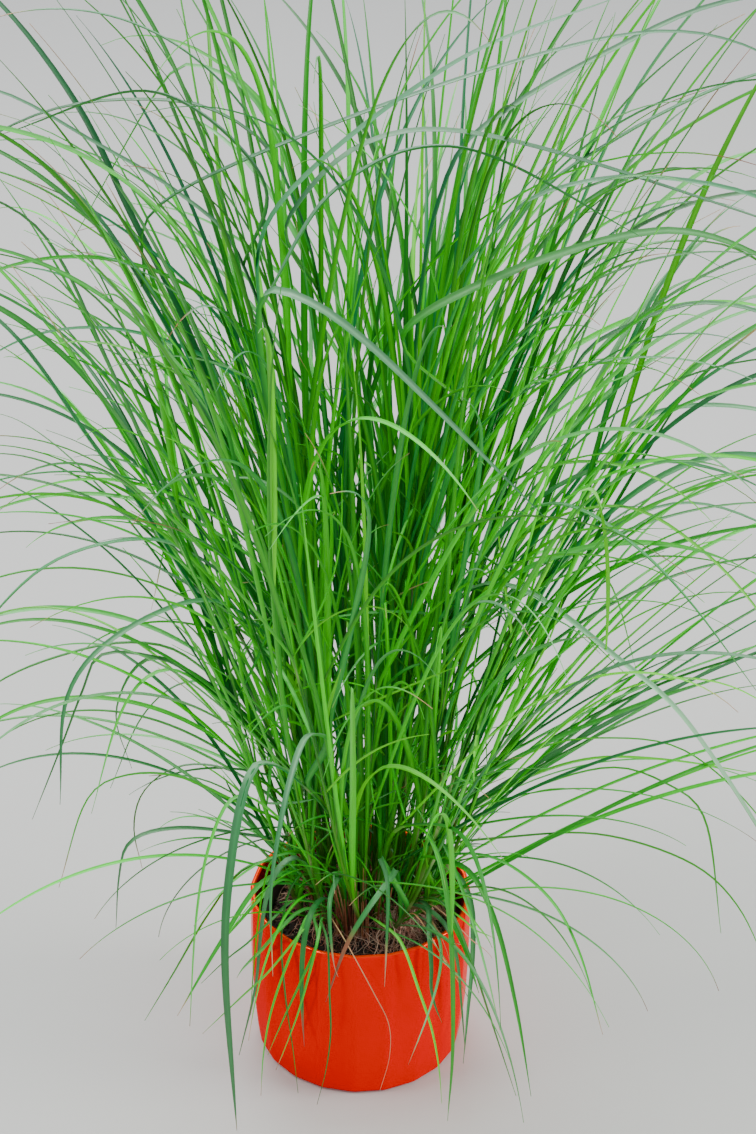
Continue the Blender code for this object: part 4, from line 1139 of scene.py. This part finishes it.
def build_cover_pot():
    """The glazed pot: a round lip that runs down into flat facets with softened creases."""
    lip = arc((POT_RIM_RADIUS - POT_WALL + LIP_ROUND, POT_HEIGHT - LIP_ROUND), LIP_ROUND, 180, 0, 13)
    foot = arc((wall_radius(FOOT_ROUND) - FOOT_ROUND, FOOT_ROUND), FOOT_ROUND, 0, -90, 9)
    inside = np.linspace(POT_FLOOR, POT_HEIGHT - 0.006, 12)
    inner = [(wall_radius(height) - POT_WALL, height) for height in inside]
    outside = np.linspace(POT_HEIGHT - LIP_ROUND, FOOT_ROUND, 18)[1:-1]
    outer = [(wall_radius(height), height) for height in outside]
    profile = [(0, POT_FLOOR), *inner, *lip, *outer, *foot, (0.03, 0), (0, 0)]
    pot = turned_piece("glazed_pot", profile, POT_FACETS * STEPS_PER_FACET, glaze_material(), 60)
    for vertex in pot.data.vertices:
        x, y, z = vertex.co
        share = faceted(np.arctan2(y, x), POT_FACETS, CREASE_SOFTNESS)
        wave = 1 + 0.0018 * noise.noise(Vector((x * 16, y * 16, z * 9)))
        vertex.co.x, vertex.co.y = x * share * wave, y * share * wave
    pot.data.transform(Matrix.Rotation(POT_TURN, 4, "Z"))
    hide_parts("pot")
    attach(pot, "root")


def build_growing_pot():
    """The thin dark pot inside, with a rolled rim that wobbles a little."""
    foot = POT_FLOOR + GAP
    rim, base, wall = GROWING_POT_RIM_RADIUS, GROWING_POT_FOOT_RADIUS, GROWING_POT_WALL
    top = foot + GROWING_POT_HEIGHT
    profile = [
        (0, foot + wall), (base - wall, foot + wall), (rim - RIM_STEP - wall, top - RIM_ROLL),
        (rim - wall - 0.001, top - 0.0012), (rim - wall, top - 0.0004), (rim - wall * 0.5, top),
        (rim - 0.0002, top - 0.0004), (rim, top - 0.001), (rim, top - 0.0055),
        (rim - 0.0006, top - RIM_ROLL), (rim - RIM_STEP, top - 0.007), (base, foot), (0, foot),
    ]
    piece = turned_piece("growing_pot", profile, GROWING_POT_STEPS, plastic_material())
    for vertex in piece.data.vertices:
        x, y, z = vertex.co
        if z > top - 0.02:
            wobble = 1 + 0.006 * noise.noise(Vector((x * 20, y * 20, 3.1))) * smoothstep(top - 0.02, top, z)
            vertex.co.x, vertex.co.y = x * wobble, y * wobble
    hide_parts("nursery_pot")
    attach(piece, "root")


def soil_height(x, y):
    """Peat surface: heaped a little round the stems, sunk near the growing pot's wall."""
    out = np.hypot(x, y) / GROWING_POT_RIM_RADIUS
    crown = np.hypot((x - CROWN_X) / CROWN_REACH_X, (y - CROWN_Y) / CROWN_REACH_Y)
    lumps = 0.0022 * noise.noise(Vector((x, y, 0)) * 75) + 0.0011 * noise.noise(Vector((x, y, 0.4)) * 210)
    heap, dip = 0.0035 * smoothstep(1.3, 0.7, crown), 0.003 * smoothstep(0.75, 1.0, out)
    return SOIL_TOP - 0.0012 + heap - dip + lumps


def ring_of(body, radius, height_at):
    """A ring of vertices round the upright axis."""
    ring = []
    for k in range(PEAT_SIDES):
        x, y = radius * cos(2 * pi * k / PEAT_SIDES), radius * sin(2 * pi * k / PEAT_SIDES)
        ring.append(body.verts.new((x, y, height_at(x, y))))
    return ring


def build_soil():
    """The root ball, with a lumpy top."""
    skin = peat_material()
    foot = POT_FLOOR + GAP * 2 + GROWING_POT_WALL
    low = GROWING_POT_FOOT_RADIUS - GROWING_POT_WALL - 0.0010
    high = GROWING_POT_RIM_RADIUS - RIM_STEP - GROWING_POT_WALL - 0.0008
    body = bmesh.new()
    middle = body.verts.new((0, 0, soil_height(0, 0)))
    rows = [ring_of(body, high * ring / PEAT_RINGS, soil_height) for ring in range(1, PEAT_RINGS + 1)]
    rows.append(ring_of(body, low, lambda x, y: foot))
    for k in range(PEAT_SIDES):
        after = (k + 1) % PEAT_SIDES
        body.faces.new((middle, rows[0][k], rows[0][after]))
        for inner, outer in zip(rows, rows[1:]):
            body.faces.new((inner[k], outer[k], outer[after], inner[after]))
    body.faces.new(rows[-1][::-1])
    bmesh.ops.recalc_face_normals(body, faces=body.faces)
    mesh = mesh_of(body, "peat")
    mesh.shade_smooth()
    mesh.materials.append(skin)
    piece = linked("peat", mesh)
    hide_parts("soil")
    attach(piece, "root")
    return skin


def build_crumbs(skin):
    """Loose crumbs of peat and bark on the soil."""
    rng = np.random.default_rng(CRUMB_SEED)
    body = bmesh.new()
    for _ in range(CRUMBS):
        radius, way = CRUMB_REACH * rng.random() ** 0.5, rng.uniform(0, 2 * pi)
        x, y = radius * cos(way), radius * sin(way)
        size = min(0.0034, 0.0007 + rng.exponential(0.0006))
        made = bmesh.ops.create_icosphere(body, subdivisions=1, radius=size)["verts"]
        stretch = Vector((rng.uniform(0.6, 1.5), rng.uniform(0.5, 1.1), rng.uniform(0.4, 0.9)))
        turn = Matrix.Rotation(rng.uniform(0, 6.3), 3, "Z") @ Matrix.Rotation(rng.normal(0, 0.5), 3, "X")
        centre = Vector((x, y, soil_height(x, y) + size * 0.25))
        for vertex in made:
            co = vertex.co * (1 + 0.45 * noise.noise(vertex.co * 900 + centre * 300))
            vertex.co = turn @ Vector((co.x * stretch.x, co.y * stretch.y, co.z * stretch.z)) + centre
    mesh = mesh_of(body, "peat_crumbs")
    mesh.materials.append(skin)
    piece = linked("peat_crumbs", mesh)
    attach(piece, "root")


def add_thread(batch, line, radius, colour, rng, flat=1.0):
    """A thin tapering thread, for roots and scraps of dry sheath."""
    line = resampled(line, 14)
    ways = np.gradient(line, axis=0)
    ways /= np.linalg.norm(ways, axis=1)[:, None] + 1e-12
    side = np.cross(ways, (0.1, 0.2, 1.0))
    side /= np.linalg.norm(side, axis=1)[:, None] + 1e-12
    up = np.cross(side, ways)
    t = np.linspace(0, 1, len(line))
    size = radius * (1 - 0.7 * t)
    rings = [
        line + side * (size * cos(a))[:, None] + up * (size * flat * sin(a))[:, None]
        for a in np.arange(4) * pi / 2
    ]
    shade = linear(colour) * rng.uniform(0.6, 1.15)
    colours = np.broadcast_to(np.clip(shade, 0, 1), (len(line), 4, 3))
    grain = np.zeros((len(line), 4, 2))
    batch.add_tube(np.stack(rings, axis=1), colours, grain)


def add_root(batch, rng, in_tangle):
    """A fine root that wanders over the peat. Those of the tangle are paler and lie higher."""
    way = rng.normal(radians(TANGLE_WAY), radians(TANGLE_SPREAD)) if in_tangle else rng.uniform(0, 2 * pi)
    x, y = crown_point(rng.uniform(0.55, 1.15), way)
    heading = way + rng.normal(0, 0.8)
    points = []
    height = rng.uniform(0.006, 0.018) if in_tangle else rng.uniform(0.002, 0.014)
    for k in range(10):
        lift = height * max(0.0, 1 - k / (8 if in_tangle else 3)) + 0.0005
        points.append((x, y, soil_height(x, y) + lift))
        heading += rng.normal(0, 0.55)
        step = rng.uniform(0.0025, 0.0060)
        x, y = x + step * cos(heading), y + step * sin(heading)
        if np.hypot(x, y) > ROOT_REACH:
            x, y = x * ROOT_REACH / np.hypot(x, y), y * ROOT_REACH / np.hypot(x, y)
    colour = ROOT_COLOURS[rng.integers(2 if in_tangle else len(ROOT_COLOURS))]
    add_thread(batch, smooth_line(points), rng.uniform(0.00020, 0.00045), colour, rng)


def add_scrap(batch, rng, in_front):
    """A dry scrap of sheath that leans out from the crown."""
    way = rng.normal(radians(FRONT_WAY), radians(FRONT_SPREAD)) if in_front else rng.uniform(0, 2 * pi)
    x, y = crown_point(rng.uniform(0.85, 1.08) if in_front else rng.uniform(0.2, 1.0), way)
    height = rng.uniform(0.03, 0.075) if in_front else rng.uniform(0.012, 0.045)
    lean = rng.uniform(-0.2, 0.4) if in_front else rng.uniform(0.2, 1.0)
    start = np.array([x, y, soil_height(x, y) - 0.001])
    points = [start]
    for k in (1, 2, 3):
        out_x, out_y = cos(way) * lean * height * k / 3, sin(way) * lean * height * k / 3
        points.append(start + np.array([out_x, out_y, height * (k / 3) * (1 - 0.10 * k * lean)]))
    colour = SCRAP_COLOURS[rng.integers(len(SCRAP_COLOURS))]
    add_thread(batch, smooth_line(points), rng.uniform(0.0006, 0.0017), colour, rng, flat=0.22)


def build_roots(skin):
    """Fine roots and dry sheath scraps that lie on the peat round the stems."""
    rng = np.random.default_rng(ROOT_SEED)
    batch = Batch()
    for number in range(ROOTS):
        # Four in ten lie in one loose tangle at the front right.
        add_root(batch, rng, in_tangle=number % 5 < 2)
    for number in range(SCRAPS):
        # One in four stands in front of the stems, a little left of the middle.
        add_scrap(batch, rng, in_front=number % 4 == 0)
    piece = batch.build("roots_and_dry_sheaths", skin)
    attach(piece, "root")


def polar(angle, out, height):
    """A place at a compass angle in degrees and a distance out from the pot's axis."""
    return (out * cos(radians(angle)), out * sin(radians(angle)), height)


def hanging_line(foot, over, top, tip, swing):
    """From a strand's foot over the pot's rim and down outside the wall to its tip."""
    points = [
        polar(*foot, STRAND_FOOT_HEIGHT),
        polar(0.4 * foot[0] + 0.6 * over, STRAND_INSIDE, top),
        polar(over, STRAND_OVER_RIM, top),
    ]
    for share in STRAND_STOPS:
        angle = over + (tip[0] - over) * share + swing * sin(pi * share)
        out = STRAND_OUTSIDE + (tip[1] - STRAND_OUTSIDE) * share
        start = top - STRAND_TURN_DOWN
        points.append(polar(angle, out, start + (tip[2] - start) * share))
    return smooth_line(points)


def build_hanging_strands(skin):
    rng = np.random.default_rng(STRAND_SEED)
    batch = Batch()
    for width, tone, *route in HANGING:
        add_blade(batch, hanging_line(*route), width, tone, rng, foot=0.0, wrapped=0.2, painted_sheen=0.3)
    piece = batch.build("hanging_strands", skin)
    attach(piece, "root")


def build_young_leaves(shoots, skin):
    """Short young blades: some rise from the soil, more part at all angles low on the stems."""
    rng = np.random.default_rng(YOUNG_SEED)
    batch = Batch()
    made = 0
    while made < YOUNG_FROM_SOIL:
        way = rng.uniform(0, 360)
        share = rng.uniform(0.35, 1.02)
        start = np.array([*crown_point(share, radians(way)), SOIL_TOP + 0.001])
        lean = 4 + 34 * share**2 * rng.random()
        line = leaning_line(
            start, way + rng.normal(0, 25), rng.normal(0, 30), lean, rng.uniform(20, 90),
            rng.uniform(0.07, 0.24), rng.uniform(1.4, 2.6),
        )
        if clears_the_pot(line):
            add_blade(batch, line, rng.uniform(0.0018, 0.0036), pick_tone(rng), rng, count=YOUNG_RINGS)
            made += 1
    while made < YOUNG_IN_ALL:
        stem = shoots[rng.integers(len(shoots))][0][1]
        start = stem[rng.integers(1, 26)]
        line = leaning_line(
            start, rng.uniform(0, 360), rng.normal(0, 60), rng.uniform(12, 60), rng.uniform(-25, 95),
            rng.uniform(0.05, 0.17), rng.uniform(1.0, 2.2),
        )
        out = np.hypot(line[:, 0] - CROWN_X, line[:, 1] - CROWN_Y)
        if clears_the_pot(line) and (out < YOUNG_REACH + YOUNG_SPREAD * (line[:, 2] - SOIL_TOP)).all():
            tone = YOUNG_TONES[rng.integers(len(YOUNG_TONES))]
            add_blade(batch, line, rng.uniform(0.0020, 0.0040), tone, rng, foot=0.3, count=YOUNG_RINGS)
            made += 1
    piece = batch.build("young_leaves", skin)
    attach(piece, "root")


def build_side_leaves(shoots, skin):
    """The fans of leaves, all of them within the box of the solids."""
    rng = np.random.default_rng(SIDE_SEED)
    batch = Batch()
    low = np.array([*CAD_BOX[0][:2], LOWEST_FAN])
    high = np.array([*CAD_BOX[1][:2], HIGHEST_EXTRA])
    for azimuth, spread, count, leaf_from, lean, droop, length, width in FANS:
        made = 0
        while made < count:
            stem = shoots[rng.integers(len(shoots))][0][1]
            start = stem[int(rng.uniform(*leaf_from) * FINE_STEPS)]
            way = rng.normal(azimuth, spread)
            line = leaning_line(
                start, way, rng.normal(0, 18), rng.uniform(*lean), rng.uniform(*droop), rng.uniform(*length),
                rng.uniform(1.2, 2.2),
            )
            beside = cos(radians(way)) * (start[0] - CROWN_X) + sin(radians(way)) * (start[1] - CROWN_Y)
            inside = (line > low).all() and (line < high).all()
            if beside > BESIDE_CROWN and inside and clears_the_pot(line):
                add_blade(batch, line, rng.uniform(*width), pick_tone(rng), rng, foot=0.3)
                made += 1
    piece = batch.build("side_leaves", skin)
    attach(piece, "root")


def build_arching_leaves(shoots, skin):
    rng = np.random.default_rng(ARCH_SEED)
    batch = Batch()
    stems = np.vstack([shoot[0][1] for shoot in shoots])
    for width, tone, painted_sheen, back, *places in ARCHES:
        points = np.array([(x, back, height) for x, height in places])
        drop = points[0][2] - stems[:, 2]
        near = stems[(drop > ARCH_DROP[0]) & (drop < ARCH_DROP[1])]
        start = near[np.argmin(np.linalg.norm(near - points[0], axis=1))]
        add_blade(batch, smooth_line([start, *points]), width, tone, rng, foot=0.3, painted_sheen=painted_sheen)
    piece = batch.build("arching_leaves", skin)
    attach(piece, "root")


# ---- Stage ----
def build_stage():
    body = bmesh.new()
    bmesh.ops.create_grid(body, x_segments=1, y_segments=1, size=FLOOR_SIZE)
    mesh = mesh_of(body, "floor")
    n = Nodes("floor")
    n.set(Base_Color=(*linear((190, 190, 188)), 1), Roughness=0.9)
    mesh.materials.append(n.material)
    floor = linked("floor", mesh)

    world = bpy.data.worlds.new("studio")
    bpy.context.scene.world = world
    world.use_nodes = True
    background = world.node_tree.nodes["Background"]
    background.inputs["Color"].default_value = (0.93, 0.96, 1.0, 1)
    background.inputs["Strength"].default_value = 0.87
    for name, place, size, power, colour in LIGHTS:
        light = bpy.data.lights.new(name, "AREA")
        light.size = size
        light.energy = power
        light.color = colour
        lamp = linked(name, light)
        lamp.location = place
        lamp.rotation_euler = (Vector(LIGHTS_AIM) - Vector(place)).to_track_quat("-Z", "Y").to_euler()

    camera = bpy.data.cameras.new("camera")
    camera.lens = 85
    camera.sensor_width = 36
    shot = linked("camera", camera)
    shot.matrix_world = (
        Matrix.Translation(CAMERA_PLACE)
        @ Matrix.Rotation(radians(90 - CAMERA_DOWN), 4, "X")
        @ Matrix.Rotation(radians(CAMERA_ROLL), 4, "Z")
    )
    bpy.context.scene.camera = shot


def main():
    build_stage()
    blade_skin = grass_material()
    shoots = grow_clump()
    dress_shoots(shoots, blade_skin)
    build_young_leaves(shoots, blade_skin)
    build_side_leaves(shoots, blade_skin)
    build_arching_leaves(shoots, blade_skin)
    build_hanging_strands(blade_skin)
    build_cover_pot()
    build_growing_pot()
    peat = build_soil()
    build_crumbs(peat)
    build_roots(thread_material())


main()
